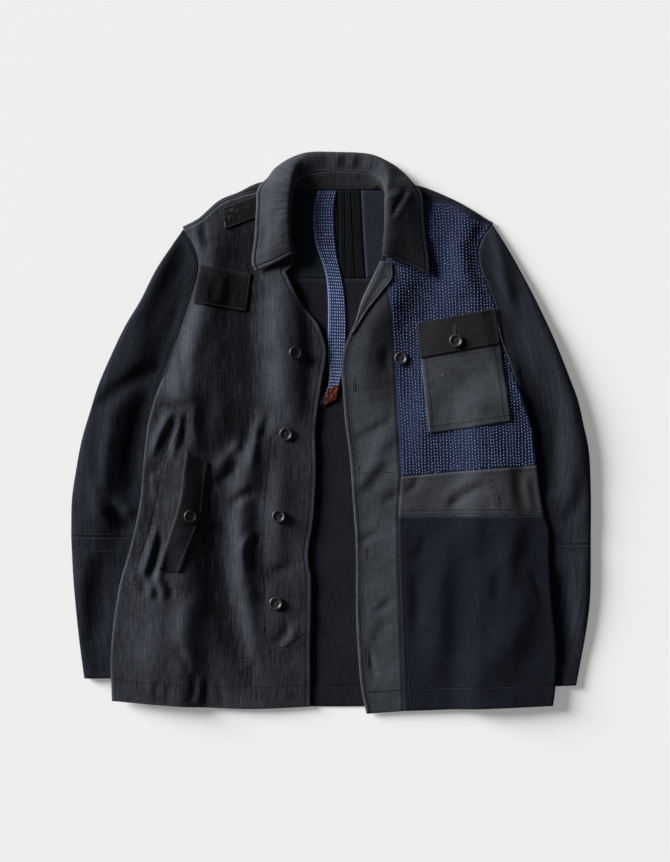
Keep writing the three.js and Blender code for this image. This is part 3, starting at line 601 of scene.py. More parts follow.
# Folds as soft troughs (-) and ridges (+): height, half width, where they run.
FRONT_FOLDS = [
    (6.2, 27, [[-184, 270], [-202, 200], [-208, 140], [-210, 90], [-204, 40]]),
    (-5.4, 30, [[-122, 300], [-128, 200], [-130, 140], [-130, 90], [-128, 50], [-130, 5]]),
    (-3.2, 18, [[-112, 60], [-130, 20], [-146, -20], [-152, -44]]),
    (5, 26, [[-72, 235], [-68, 150], [-66, 90], [-62, 40], [-60, 0]]),
    (-2.6, 10, [[-38, 195], [-31, 130], [-31, 70], [-34, 20]]),
    (3.2, 20, [[-188, -226], [-204, -275], [-196, -340]]),
    (-4.2, 20, [[-160, -60], [-156, -120], [-160, -170], [-158, -215], [-148, -260], [-130, -300], [-124, -350]]),
    (3.8, 15, [[-122, -10], [-116, -50], [-128, -90], [-128, -150], [-124, -215], [-112, -270], [-106, -330]]),
    (-2.0, 11, [[-88, -30], [-94, -75], [-102, -120], [-98, -200], [-97, -290]]),
    (2.2, 14, [[-70, -50], [-74, -110], [-76, -190]]),
    (1.8, 18, [[-250, -215], [-240, -270], [-246, -340]]),
    (2.4, 20, [[188, -124], [166, -160], [154, -210], [150, -290], [140, -350]]),
    (-1.8, 22, [[226, -126], [208, -165], [194, -205], [190, -255], [178, -320]]),
    (-1.3, 13, [[290, -124], [278, -150], [268, -185]]),
    (1.4, 14, [[262, -122], [250, -165], [243, -215]]),
    (1.6, 20, [[286, -200], [270, -250], [244, -290], [214, -330], [200, -370]]),
    (-1.4, 18, [[290, -290], [272, -320], [256, -360]]),
    (-0.9, 14, [[124, -140], [120, -210], [118, -300]]),
    (2.6, 18, [[186, 318], [190, 270], [206, 210], [216, 180]]),
    (3.2, 20, [[98, 236], [82, 190], [52, 140], [44, 60]]),
    (-4.4, 28, [[150, 270], [136, 200], [116, 150], [96, 90], [92, 20]]),
    (3.0, 24, [[178, 270], [184, 220], [188, 190]]),
    (1.6, 16, [[130, 60], [126, 0], [128, -50]]),
    (2.0, 14, [[262, 100], [262, 40], [264, -20]]),
]
FRONT_WRINKLES = [
    (-2.4, 6, [[-112, 22], [-119, 0], [-124, -30]]),
    (-1.4, 5, [[-88, 22], [-92, 6], [-100, -8]]),
    (2.2, 7, [[-104, 20], [-106, -10], [-112, -50]]),
    (-2.8, 7, [[-214, 24], [-226, -4], [-240, -38], [-258, -62]]),
    (2.4, 7, [[-222, 30], [-238, 2], [-252, -34]]),
    (-2.2, 6, [[-203, 30], [-205, 4], [-210, -26]]),
    (1.4, 6, [[-210, 28], [-215, 0], [-222, -34]]),
    (1.2, 7, [[-192, 44], [-190, 10], [-186, -26]]),
    (-1.4, 8, [[-236, 46], [-222, 38], [-204, 34]]),
    (2.4, 8, [[-160, -52], [-142, -26], [-128, -14]]),
    (-2.2, 7, [[-160, -74], [-142, -58], [-130, -38]]),
    (-2.2, 7, [[-142, -104], [-124, -88], [-106, -84]]),
    (-1.6, 5, [[-98, -142], [-112, -164], [-106, -196]]),
    (1.2, 6, [[-108, -140], [-124, -160], [-120, -200]]),
    (-2.4, 6, [[-252, -96], [-258, -140], [-276, -180]]),
    (2.2, 5.5, [[-244, -130], [-252, -165], [-266, -206]]),
    (-2.2, 5, [[-238, -142], [-244, -175], [-256, -212]]),
    (1.8, 5, [[-232, -160], [-238, -190], [-246, -222]]),
    (-1.0, 8, [[-172, 232], [-164, 210], [-166, 184]]),
    (1.2, 7, [[-150, 222], [-154, 200], [-158, 180]]),
    (-1.2, 6, [[-178, 300], [-178, 278], [-174, 256]]),
    (1.2, 6, [[-190, 292], [-188, 262], [-184, 236]]),
    (-1.2, 7, [[-214, 126], [-206, 90], [-204, 50]]),
    (-1.2, 8, [[-48, -182], [-66, -190], [-90, -202]]),
    (-1.2, 6, [[-62, -262], [-64, -280], [-80, -296]]),
    (1.2, 6, [[-48, -270], [-54, -286], [-68, -300]]),
    (-1.2, 6, [[-214, -298], [-206, -316], [-198, -334]]),
    (-1.0, 5, [[-192, -340], [-193, -362], [-196, -380]]),
    (1.0, 5, [[-183, -342], [-184, -362], [-186, -380]]),
    (-1.0, 5, [[-176, -344], [-176, -364], [-178, -382]]),
    (-1.0, 5, [[-158, -348], [-154, -366], [-150, -384]]),
    (-1.0, 6, [[-240, -346], [-244, -362], [-242, -378]]),
    (-1.0, 6, [[-226, -350], [-228, -364], [-230, -380]]),
    (-1.0, 6, [[-106, -318], [-112, -338], [-108, -360]]),
    (-1.2, 6, [[88, 22], [62, 4], [34, -10]]),
    (1.1, 9, [[92, 2], [74, -14], [54, -34]]),
    (-1.1, 8, [[86, -40], [66, -64], [48, -88]]),
    (1.2, 8, [[70, -34], [50, -58], [36, -80]]),
    (-1.2, 6, [[96, -84], [84, -92], [72, -98]]),
    (-1.2, 5, [[122, -62], [116, -76], [104, -84]]),
    (-1.4, 5, [[216, -74], [190, -86], [164, -106]]),
    (1.0, 6, [[206, -64], [182, -74], [158, -92]]),
    (-1.2, 6, [[72, -142], [54, -146], [40, -156]]),
    (-1.2, 6, [[86, -232], [74, -244], [60, -254]]),
    (-1.0, 8, [[82, -262], [70, -276], [62, -300]]),
    (-1.2, 5, [[54, -300], [56, -322], [62, -346]]),
    (-1.6, 5, [[-268, -196], [-262, -214], [-262, -230]]),
    (1.4, 5, [[-258, -200], [-253, -216], [-252, -232]]),
    (-1.6, 5, [[-250, -204], [-244, -218], [-242, -234]]),
    (1.2, 5, [[-240, -206], [-235, -220], [-232, -234]]),
    (-1.4, 5, [[-230, -206], [-226, -218], [-224, -232]]),
    (-1.6, 6, [[-262, -60], [-256, -84], [-262, -108]]),
    (1.4, 6, [[-256, -40], [-250, -66], [-252, -96]]),
    (-1.6, 7, [[264, -46], [262, -76], [270, -108]]),
    (1.6, 6, [[272, -60], [274, -86], [280, -112]]),
    (-0.7, 7, [[134, -146], [128, -164], [116, -184]]),
    (-1.0, 8, [[116, -200], [122, -240], [120, -270]]),
    (-0.5, 6, [[202, -222], [196, -244], [192, -262]]),
    (-1.0, 8, [[238, -190], [232, -210], [232, -236]]),
    (-1.2, 5, [[280, -192], [292, -220], [302, -244]]),
    (-1.2, 6, [[80, 120], [76, 100], [82, 86]]),
    (-1.2, 7, [[200, 288], [210, 280], [222, 284]]),
]
right_line = np.vstack([spline(RIGHT_SIDE, 60), spline(RIGHT_ARMHOLE, 60)])
left_line = np.vstack([spline(LEFT_SIDE, 60), spline(LEFT_ARMHOLE, 60)])
right_edge_line, left_edge_line = spline(RIGHT_EDGE, 90), spline(LEFT_EDGE, 90)


def inside_side(x, y):
    return np.where(x < 0, x - x_at(right_line, y), x_at(left_line, y) - x)


def inside_edge(x, y):
    return np.where(x < 0, x_at(right_edge_line, y) - x, x - x_at(left_edge_line, y))


def below_shoulder(x, y):
    turned = [[[b, a] for a, b in line] for line in (RIGHT_SHOULDER, LEFT_SHOULDER)]
    return np.where(x < 0, x_at(turned[0], x), x_at(turned[1], x)) - y


def folds_at(folds, x, y):
    """Sum of the folds; each fades out towards both of its ends."""
    total = np.zeros(x.shape)
    for height, half, points in folds:
        line = spline(points, 8)
        best, place = np.full(x.shape, 1e9), np.zeros(x.shape)
        for k in range(8):
            (ax, ay), (dx, dy) = line[k], line[k + 1] - line[k]
            t = np.clip(((x - ax) * dx + (y - ay) * dy) / (dx * dx + dy * dy), 0, 1)
            away = np.hypot(x - ax - t * dx, y - ay - t * dy)
            closer = away < best
            best, place = np.where(closer, away, best), np.where(closer, (k + t) / 8, place)
        total += height * np.exp(-((best / half) ** 2)) * np.sqrt(4 * place * (1 - place) + 0.02)
    return total


def front_under(x, y):
    """Underside of the fronts over the back."""
    inside = inside_side(x, y)
    side = mix(0.07, 1, smooth(inside / 64))
    closed = mix(side, mix(0.5, 1, smooth(inside / 26)), smooth((y - 10) / 60))
    edge = mix(EDGE_GAP / BODY_GAP, 1, smooth(inside_edge(x, y) / 60))
    hem = mix(HEM_GAP / BODY_GAP, 1, smooth((y + 385) / 70))
    shoulder = mix(SHOULDER_GAP / BODY_GAP, 1, smooth(below_shoulder(x, y) / 50))
    folds = FULLNESS * folds_at(FRONT_FOLDS, x, y) * smooth(inside / 40)
    rumple = 0.45 * crumple(x, y, 24, 8) + 0.25 * crumple(x, y, 11, 9)
    folds += (CREASING * folds_at(FRONT_WRINKLES, x, y) + rumple) * smooth(inside / 14)
    room = BODY_GAP * closed * edge * hem * shoulder + folds - 0.9
    return back_z(x, y) + CLOTH + 0.9 + np.logaddexp(0, 1.5 * room) / 1.5


def front_top(x, y):
    return front_under(x, y) + CLOTH


def front_fold_wear_and_shade(x, y):
    return folds_at(FRONT_FOLDS, x, y) + folds_at(FRONT_WRINKLES, x, y)


def shifted(line, by):
    """A flat line moved to its left by that many mm."""
    line = np.asarray(line, float)
    run = np.gradient(line, axis=0)
    run /= np.linalg.norm(run, axis=1, keepdims=True)
    return line + by * np.stack([-run[:, 1], run[:, 0]], -1)


def on_top(line, height, lift=0.0):
    return np.column_stack([line, height(line[:, 0], line[:, 1]) + lift])


FACING_LINE = [[-83, -6], [-91, -94], [-95, -164], [-92, -220], [-91, -278], [-86, -296], [-70, -303],
               [-49, -292], [-36, -283]]
POCKET_BAG = [[-202, 18], [-235, -52], [-243, -94], [-253, -137], [-267, -178], [-273, -204],
              [-270, -216], [-253, -223], [-218, -220]]
PATCH_SEAM = [[-115, 235], [-110, 205], [-104, 169]]
facing_line, bag_line = spline(FACING_LINE, 80), spline(POCKET_BAG, 80)
right_front_grid = fill(
    spline(RIGHT_HEM, 80),
    joined((RIGHT_EDGE, 150), (RIGHT_CORNER, 8), (RIGHT_NECK[::-1], 26)),
    spline(RIGHT_SHOULDER, 80),
    joined((RIGHT_SIDE, 100), (RIGHT_ARMHOLE, 84)))
right_front = wall("right_front_cloth", *on(right_front_grid, front_under),
                   lines=[facing_line, bag_line, spline(PATCH_SEAM, 20)])


def slub_stripe(f, dark, light, seed=0.0, pitch=1.0):
    """Dark cloth striped along its length by thick and thin grey threads."""
    sway = (noise(f, 30, 60, seed + 2) - 0.5) * 3
    bars = (f.u + sway).wave(3.3 * pitch)
    slubs = noise(f, 1.9 * pitch, 42, seed, 3, 0.6).between(0.32, 0.68)
    fine = noise(f, 0.8 * pitch, 14, seed + 4, 2).between(0.3, 0.7)
    weft = noise(f, 16, 1.2, seed + 6, 2).between(0.3, 0.7)
    faded = noise(f, 45, 60, seed + 8, 3)
    worn = (1 - f.edge.between(0, 3.5)) * 0.35
    value = slubs * 0.4 + fine * 0.26 + weft * 0.16 + bars * 0.06 + (faded - 0.5) * 0.6 + worn - 0.12
    # f.proud paints light on the ridges of folds and shade in their troughs; the paler ridges are partly wear.
    colour = (value + f.proud * 0.3).within().to(dark, light)
    rumple = noise(f, 9, 13, seed + 10, 2) * 0.55
    return colour, 0.84 + 0.1 * fine, slubs * 0.12 + weft * 0.08 + fine * 0.06 + rumple


def puckers(f, distance, seed=0.0, reach=9.0):
    """Small ripples that sewing draws up beside a stitched line."""
    return (1 - distance.between(0, reach)) * noise(f, 6, 6, seed + 12, 1) * 0.8


stripe_dark, stripe_light = (0.0042, 0.0048, 0.0062), (0.058, 0.064, 0.079)
mark_fold_wear_and_shade(right_front, front_fold_wear_and_shade)
f = new_finish("right_front_stripe")
colour, roughness, relief = slub_stripe(f, stripe_dark, stripe_light, 60)
rolled = 1 - f.right.between(1, 5)
relief = (relief + rolled * 0.8 - f.right.at(EDGE_ROW, 1.6) * 0.7 - f.foot.at(HEM_TURN, 1.8) * 0.5
          - f.line.at(0, 2.6) * 1.1 + puckers(f, f.line, 60, 13) * 1.6 + puckers(f, f.foot, 63, 34) * 0.4
          - (1 - f.head.between(0, 3)) * 0.5)
groove = f.right.at(EDGE_ROW, 1.3) * 0.6 + f.foot.at(HEM_TURN, 1.2) * 0.5 + f.line.at(0, 1.7) * 0.55
lay(right_front, "right_front",
    close(f, groove.within().over(colour, SEAM_SHADE), roughness, relief),
    area=0.161)

dark_thread = thread_finish("charcoal_thread", (0.009, 0.0095, 0.011), (0.03, 0.032, 0.036))
hem_line = shifted(spline(RIGHT_HEM, 80), HEM_TURN)
edge_line = shifted(np.vstack([spline(RIGHT_EDGE, 150), spline(RIGHT_CORNER, 8)[1:]]), EDGE_ROW)
right_front_stitching = stitches("right_front_stitching", *pace(
    [on_top(line, front_top, THREAD_LIFT) for line in
     (hem_line[2:-2], edge_line[3:-3], facing_line, bag_line, spline(PATCH_SEAM, 20))], 3.3), dark_thread)


# Yokes: the back's cloth comes over each shoulder as a narrow band and is stitched down to the
# front. The right one is slub stripe like its front, the left one is the plainer sleeve cloth.
YOKE_START = 1


def yoke_wall(name, seam, reaches, n):
    line = spline(seam, n)
    reach = spline([[x, y, r] for (x, y), r in zip(seam, reaches)], n)[:, 2:]
    run = np.gradient(line, axis=0)
    run /= np.linalg.norm(run, axis=1, keepdims=True)
    out = np.stack([-run[:, 1], run[:, 0]], -1)
    top = front_under(line[:, 0], line[:, 1])[:, None] + CLOTH / 2
    low = CLOTH / 2
    tall = (top - low) / 2
    deep = np.minimum(tall, reach - YOKE_START - 0.5)
    turn = np.radians(np.linspace(90, -90, 13))
    across = np.hstack([mix(YOKE_START, reach - deep, np.linspace(0, 1, 5)[:-1]),
                        reach - deep + deep * np.cos(turn),
                        mix(reach - deep, -YOKE_UNDER, np.linspace(0, 1, 5)[1:])])
    height = np.hstack([np.repeat(top, 4, 1), low + tall + tall * np.sin(turn), np.full((n + 1, 4), low)])
    middle = np.dstack([line[:, None] + out[:, None] * across[..., None], height])
    length = run_length(line)
    round_it = np.cumsum(np.linalg.norm(np.diff(middle, axis=1, prepend=middle[:, :1]), axis=-1), axis=1)
    cloth = np.dstack([np.repeat(length[:, None], round_it.shape[1], 1), round_it])
    return wall(name, *thick(middle), cloth=cloth)


def thick(middle, thickness=CLOTH):
    """Both faces of a wall about a curved grid."""
    normal = np.cross(np.gradient(middle, axis=1), np.gradient(middle, axis=0))
    normal /= np.linalg.norm(normal, axis=-1, keepdims=True)
    return middle - normal * thickness / 2, middle + normal * thickness / 2


yoke_right = yoke_wall("yoke_right_cloth", RIGHT_SHOULDER, [3.6, 4.6, 5.2, 6, 12, 16], 50)
f = new_finish("yoke_right_stripe")
colour, roughness, relief = slub_stripe(f, stripe_dark, stripe_light, 80)
ditch = f.left.at(2.4, 1.4)
lay(yoke_right, "yoke_right",
    close(f, (ditch * 0.5).over(colour, SEAM_SHADE), roughness, relief - ditch * 0.5))

yoke_left = yoke_wall("yoke_left_cloth", LEFT_SHOULDER[::-1], [15, 16, 7, 9, 3.2], 50)


def fine_stripe(f, dark, light, seed=0.0):
    """Firm blue-black cloth with fine broken lines along its length."""
    sway = (noise(f, 40, 80, seed + 2) - 0.5) * 2
    lines = (f.u + sway).wave(2.9).between(0.35, 0.9)
    broken = noise(f, 2.6, 9, seed, 2, 0.6).between(0.35, 0.65)
    slubs = noise(f, 5, 60, seed + 3, 3).between(0.3, 0.7)
    weft = noise(f, 12, 1.3, seed + 5, 2)
    faded = noise(f, 40, 60, seed + 8, 3)
    worn = (1 - f.edge.between(0, 3)) * 0.3
    value = lines * broken * 0.4 + slubs * 0.3 + weft * 0.18 + (faded - 0.5) * 0.5 + worn - 0.05
    # f.proud paints light on the ridges of folds and shade in their troughs; the paler ridges are partly wear.
    colour = (value + f.proud * 0.22).within().to(dark, light)
    rumple = noise(f, 13, 20, seed + 10, 2) * 0.6
    return colour, 0.82 + 0.12 * weft, lines * 0.08 + broken * 0.06 + weft * 0.08 + rumple


sleeve_dark, sleeve_light = (0.0045, 0.0055, 0.008), (0.029, 0.0345, 0.047)
f = new_finish("yoke_left_cloth_finish")
colour, roughness, relief = fine_stripe(f, sleeve_dark, sleeve_light, 90)
lay(yoke_left, "yoke_left", close(f, colour, roughness, relief - f.left.at(2.4, 1.4) * 0.5))


# Right-front patches: a blotchy, frayed scrap under the collar at the shoulder and a black
# oblong on the chest, both turned under and sewn round; and the slanted flap of the hand pocket.
ON_FRONT = 1.3
REST = 0.5


def on_front(x, y):
    return front_top(x, y) + REST


def patch_grid(corners, nu, nv):
    a, b, c, d = corners
    return fill(spline([a, b], nu), spline([b, c], nv), spline([d, c], nu), spline([a, d], nv))


def round_inside(grid, by):
    """A closed line that runs round a grid, by mm inside its border."""
    centre = np.vstack([grid[0, :-1], grid[:-1, -1], grid[-1, :0:-1], grid[:0:-1, 0]]).mean(0)
    corners = np.array([grid[0, 0], grid[0, -1], grid[-1, -1], grid[-1, 0], grid[0, 0]])
    corners = centre + (corners - centre) * (1 - 2 * by / np.ptp(grid, axis=(0, 1)))
    sides = [np.linspace(a, b, 24, endpoint=False) for a, b in zip(corners, corners[1:])]
    return np.vstack(sides + [corners[:1]])


shoulder_patch_grid = patch_grid([[-148, 285], [-102, 302], [-102, 332], [-152, 314]], 16, 10)
shoulder_patch = wall("shoulder_patch_cloth", *on(shoulder_patch_grid, on_front))
f = new_finish("frayed_patch")
colour, roughness, relief = plain_weave(f, (0.0028, 0.0027, 0.003), (0.0105, 0.0102, 0.0115), seed=101, cross=0.3)
blotch = noise(f, 5, 9, 104, 4, 0.7).between(0.5, 0.68) * (1 - f.left.between(8, 26)) * 0.7
bare = noise(f, 3, 2, 107, 2).between(0.55, 0.7) * f.left.at(34, 10) * f.head.at(8, 7) * 0.8
mark = (blotch + bare).within()
lay(shoulder_patch, "shoulder_patch",
    close(f, mark.over(colour, (0.085, 0.08, 0.078)), roughness, relief + mark * 0.3),
    area=0.0017)

chest_patch_grid = patch_grid([[-192, 181], [-118, 169], [-111, 222], [-182, 234]], 20, 15)
chest_patch = wall("chest_patch_cloth", *on(chest_patch_grid, on_front))
f = new_finish("black_patch")
colour, roughness, relief = plain_weave(f, (0.002, 0.0021, 0.0025), (0.007, 0.0073, 0.0086), seed=111, cross=0.3)
brushed = noise(f, 12, 30, 117, 2).between(0.52, 0.72) * 0.5
lay(chest_patch, "chest_patch",
    close(f, brushed.over(colour, (0.020, 0.0203, 0.023)), roughness,
          relief + noise(f, 10, 26, 118, 2) * 1.6 - f.edge.at(3.2, 1.3) * 0.5))

WELT_OUTER = [[-241, -191], [-228, -150], [-211, -94], [-206, -52], [-202, -26]]
WELT_INNER = [[-210, -195], [-197, -162], [-179, -115], [-175, -80], [-171, -43]]
welt_grid = fill(spline([[-241, -191], [-210, -195]], 10), spline(WELT_INNER, 44),
                 spline([[-202, -26], [-171, -43]], 10), spline(WELT_OUTER, 44))
welt_flap = wall("welt_flap_cloth", *on(welt_grid, on_front))
f = new_finish("welt_flap_stripe")
# The flap's stripe is given darker than the front's: painted shade of the dark fold it lies in.
colour, roughness, relief = slub_stripe(f, (0.0028, 0.0031, 0.004), (0.024, 0.0262, 0.0325), 120)
ridge = f.left.at(2, 2.4) + f.right.at(4.5, 1.6)
ditch = f.edge.at(4.2, 1.2)
colour = (ridge * 0.5).within().over(colour, (0.048, 0.052, 0.062))
lay(welt_flap, "welt_flap",
    close(f, (ditch * 0.5).over(colour, SEAM_SHADE), roughness,
          relief + ridge * 0.6 - ditch * 0.5 + puckers(f, f.edge, 120, 8)),
    area=0.0056)
patch_stitching = stitches("right_patch_stitching", *pace(
    [on_top(round_inside(shoulder_patch_grid, 2), on_front, CLOTH + THREAD_LIFT),
     on_top(round_inside(chest_patch_grid, 3.2), on_front, CLOTH + THREAD_LIFT),
     on_top(shifted(spline(WELT_OUTER, 44), -4.2)[1:-1], on_front, CLOTH + THREAD_LIFT),
     on_top(shifted(spline(WELT_INNER, 44), 4.2)[1:-1], on_front, CLOTH + THREAD_LIFT)], 3.0), dark_thread, 2.2)


# Left front: pieced from four cloths. A grey slub placket carries the buttonholes; beside it,
# indigo quilted all over with pale running stitch, a grey band, and plain navy below.
PLACKET_SEAM = [[102, -390], [99, -304], [97, -234], [95, -178], [94, -118], [98, -62], [95, -10], [92, 45],
                [90, 94], [87, 130], [84, 171], [79, 205], [79, 246]]
SASHIKO_FOOT = [[98, -62], [153, -57], [209, -52], [287, -46]]
BAND_FOOT = [[94, -118], [200, -117], [297, -116]]
LEFT_HEM = [[102, -390], [153, -388], [209, -386], [258, -384], [310, -382]]
LEFT_NECK = [[79, 338], [80, 290], [79, 246]]


def seam_part(low, high):
    return [p for p in PLACKET_SEAM if low <= p[1] <= high]


placket_seam = joined((seam_part(-390, -118), 72), (seam_part(-118, -62), 14), (seam_part(-62, 246), 80))
placket_grid = fill(spline([[50, -394], [102, -390]], 16), placket_seam, spline([[72, 248], [79, 246]], 16),
                    spline(LEFT_EDGE, len(placket_seam) - 1))
left_placket = wall("left_placket_cloth", *on(placket_grid, front_under),
                    lines=[np.array([[20.0, -58], [99, -56]])])
mark_fold_wear_and_shade(left_placket, front_fold_wear_and_shade)
GREY_SEAM_SHADE = (0.006, 0.0065, 0.0075)
grey_dark, grey_light = (0.014, 0.0157, 0.019), (0.06, 0.0665, 0.079)


def grey_slub(f, dark, light, seed=0.0):
    """Grey-blue cloth of uneven thread both ways."""
    warp = noise(f, 1.2, 30, seed, 3, 0.6).between(0.3, 0.7)
    weft = noise(f, 26, 1.2, seed + 3, 3, 0.6).between(0.3, 0.7)
    faded = noise(f, 40, 50, seed + 6, 3)
    worn = (1 - f.edge.between(0, 3)) * 0.3
    # f.proud paints light on the ridges of folds and shade in their troughs; the paler ridges are partly wear.
    value = warp * 0.36 + weft * 0.34 + (faded - 0.5) * 0.7 + worn + 0.06 + f.proud * 0.2
    rumple = noise(f, 12, 14, seed + 9, 2) * 0.55
    return value.within().to(dark, light), 0.85 + 0.1 * warp, (warp + weft) * 0.09 + rumple


f = new_finish("placket_grey")
colour, roughness, relief = grey_slub(f, grey_dark, grey_light, 130)
# Painted shadow of the lapel and collar: the placket darkens from 40 mm to 150 mm up and stays dark above.
painted_lapel_shadow = f.v.between(40, 150)
colour = (painted_lapel_shadow * 0.7).over(colour, (0.0115, 0.0125, 0.015))
rolled = 1 - f.left.between(1, 5)
ditch = (f.left.at(6, 1.4) + f.left.at(9, 1.2) * 0.5 + f.foot.at(HEM_TURN, 1.4) + f.line.at(0, 1.8)
         + f.right.at(2, 1.6)).within()
lay(left_placket, "left_placket",
    close(f, (ditch * 0.55).over(colour, GREY_SEAM_SHADE), roughness,
          relief + rolled * 0.7 - ditch * 0.6 + puckers(f, f.left, 130) + puckers(f, f.right, 134)),
    area=0.0375)

sashiko_grid = fill(
    spline(SASHIKO_FOOT, 50), joined(([[287, -46], [281, 5]], 12), (LEFT_ARMHOLE, 78)),
    spline(LEFT_SHOULDER[::-1], 50), joined((seam_part(-62, 246), 66), (LEFT_NECK[::-1], 24)))
left_sashiko = wall("left_front_sashiko_cloth", *on(sashiko_grid, front_under))
mark_fold_wear_and_shade(left_sashiko, front_fold_wear_and_shade)
ROW_STEP = 4.38
STITCH_STEP = 4.4
f = new_finish("sashiko_indigo")
colour, roughness, relief = plain_weave(f, indigo_dark, indigo_light, seed=141)
quilted = (f.u.wave(ROW_STEP) * 0.5 + f.v.wave(STITCH_STEP) * 0.5) * 0.35
lay(left_sashiko, "left_front_sashiko",
    close(f, colour, roughness, relief + quilted - (1 - f.left.between(0, 3)) * 0.6),
    area=0.062)

band_grid = fill(spline(BAND_FOOT, 50), spline([[297, -116], [291, -80], [287, -46]], 16),
                 spline(SASHIKO_FOOT, 50), spline(seam_part(-118, -62), 16))
left_band = wall("left_front_band_cloth", *on(band_grid, front_under))
mark_fold_wear_and_shade(left_band, front_fold_wear_and_shade)
f = new_finish("band_grey")
colour, roughness, relief = grey_slub(f, (0.015, 0.0165, 0.019), (0.062, 0.067, 0.08), 150)
dark_end = f.right.between(12, 22) * (1 - f.right.between(34, 44))
colour = (dark_end * 0.7).over(colour, (0.012, 0.0105, 0.010))
ditch = (f.foot.at(3, 1.3) + f.foot.at(8, 1.3)).within()
lay(left_band, "left_front_band",
    close(f, (ditch * 0.5).over(colour, GREY_SEAM_SHADE), roughness,
          relief - ditch * 0.5 + (1 - f.foot.between(0, 9)) * 0.5 - (1 - f.head.between(0, 3)) * 0.5
          + puckers(f, f.head, 151)),
    area=0.0128)

lower_grid = fill(spline(LEFT_HEM, 54), spline(LEFT_SIDE[:7], 72), spline(BAND_FOOT, 54),
                  spline(seam_part(-390, -118), 72))
left_lower = wall("left_front_lower_cloth", *on(lower_grid, front_under))
mark_fold_wear_and_shade(left_lower, front_fold_wear_and_shade)
f = new_finish("navy_plain")
colour, roughness, relief = plain_weave(f, (0.0036, 0.0044, 0.0074), (0.0108, 0.0128, 0.0205), seed=161)
# Painted shade in the hem and seam ditches.
ditch = (f.foot.at(HEM_TURN, 1.4) + f.left.at(8, 1.4)).within()
lay(left_lower, "left_front_lower",
    close(f, (ditch * 0.6).over(colour, (0.003, 0.003, 0.005)), roughness,
          relief * 0.8 - ditch * 0.5 - (1 - f.head.between(0, 2.5)) * 0.6 - (1 - f.left.between(0, 2.5)) * 0.5),
    area=0.055)

# Stitching of the left front: rows of sashiko, double seams, the hem and five buttonholes.
pocket_corners = np.array([[137, -1], [251, 16], [231, 174], [120, 153]], float)


def within(points, outline):
    inside = np.zeros(len(points), bool)
    for (ax, ay), (bx, by) in zip(outline, np.roll(outline, -1, axis=0)):
        crosses = (ay > points[:, 1]) != (by > points[:, 1])
        inside ^= crosses & (points[:, 0] < ax + (bx - ax) * (points[:, 1] - ay) / (by - ay + 1e-12))
    return inside


rows = []
for k in range(-4, 60):
    y = np.arange(-70, 345, STITCH_STEP) + 0.9 * np.sin(2.3 * k)
    x = 98 - 0.045 * (y + 60) + ROW_STEP * k + 0.5 * np.sin(y / 17 + k)
    rows.append(np.stack([x, y + 0.02 * ROW_STEP * k], -1))
spots = np.vstack(rows)
outline = np.vstack([sashiko_grid[0], sashiko_grid[1:, -1], sashiko_grid[-1, ::-1], sashiko_grid[::-1, 0]])
button_place = np.hypot(spots[:, 0] - 98, spots[:, 1] - 104)
spots = spots[within(spots, outline) & ~within(spots, pocket_corners) & (gap_to(spots, outline) > 1.8)
              & (button_place > 8)]
spots += np.random.default_rng(11).normal(0, 0.22, spots.shape)
at = on_top(spots, front_top, 0.05)
along = on_top(spots + [0.05, 1.2], front_top) - on_top(spots - [0.05, 1.2], front_top)
sashiko_stitches = stitches("sashiko_running_stitch", at, along, pale_thread, 2.35, 1.2, 0.6, 12, 0.12)

placket_edge = spline(LEFT_EDGE, 160)
grey_thread = thread_finish("grey_thread", (0.012, 0.0128, 0.0155), (0.038, 0.041, 0.048))
left_stitching = stitches("left_front_stitching", *pace([on_top(line, front_top, THREAD_LIFT) for line in (
    shifted(placket_edge, -6)[3:-8], shifted(placket_edge, -9)[3:-20],
    shifted(spline(seam_part(-390, 246), 120), 2.2)[2:-6],
    shifted(spline([[50, -394], [102, -390]], 16), HEM_TURN)[2:-2],
    shifted(spline(BAND_FOOT, 50), 3)[1:-1], shifted(spline(BAND_FOOT, 50), 8)[1:-1],
    shifted(spline(LEFT_HEM, 54), HEM_TURN)[2:-2], shifted(spline(seam_part(-390, -118), 60), -8)[2:-2],
)], 3.1), grey_thread, 2.1, 0.7)


def buttonhole(x, y, size, height, turn=0.0):
    """Places and directions of the close stitches round a slit."""
    t = np.linspace(-1, 1, int(size / 0.75))
    side = np.repeat([-1.0, 1.0], len(t))
    a, b = np.sin(turn), np.cos(turn)
    along_slit, across = np.tile(t, 2) * size / 2, side * 1.3
    x, y = x + across * b - along_slit * a, y + across * a + along_slit * b
    return np.column_stack([x, y, height(x, y) + 0.15]), np.tile([b, a, 0.0], (len(x), 1))


holes = [buttonhole(*place, height=front_top) for place in
         ((32, 67, 18), (38, -56, 17), (48, -170, 17), (53, -318, 17))]
frayed = np.random.default_rng(4).uniform([-4.5, -64], [4.5, 0], (150, 2))
frayed = np.column_stack([219 + frayed[:, 0] + 0.32 * -frayed[:, 1] * 0.8, -52 + frayed[:, 1]])
bar = np.random.default_rng(6).uniform([213, 272], [226, 292], (60, 2))
mend = np.vstack([frayed[:, :2], bar])
mend_along = np.vstack([np.tile([0.9, -0.4, 0.0], (150, 1)), np.tile([0.7, 0.6, 0.0], (60, 1))])
keep = inside_side(*mend.T) > 4
buttonholes = stitches(
    "buttonholes_and_mending",
    np.vstack([h[0] for h in holes] + [on_top(mend[keep], front_top, THREAD_LIFT)]),
    np.vstack([h[1] for h in holes] + [mend_along[keep]]), dark_thread, 2.4, 0.75, 0.5, 9, 0.1)


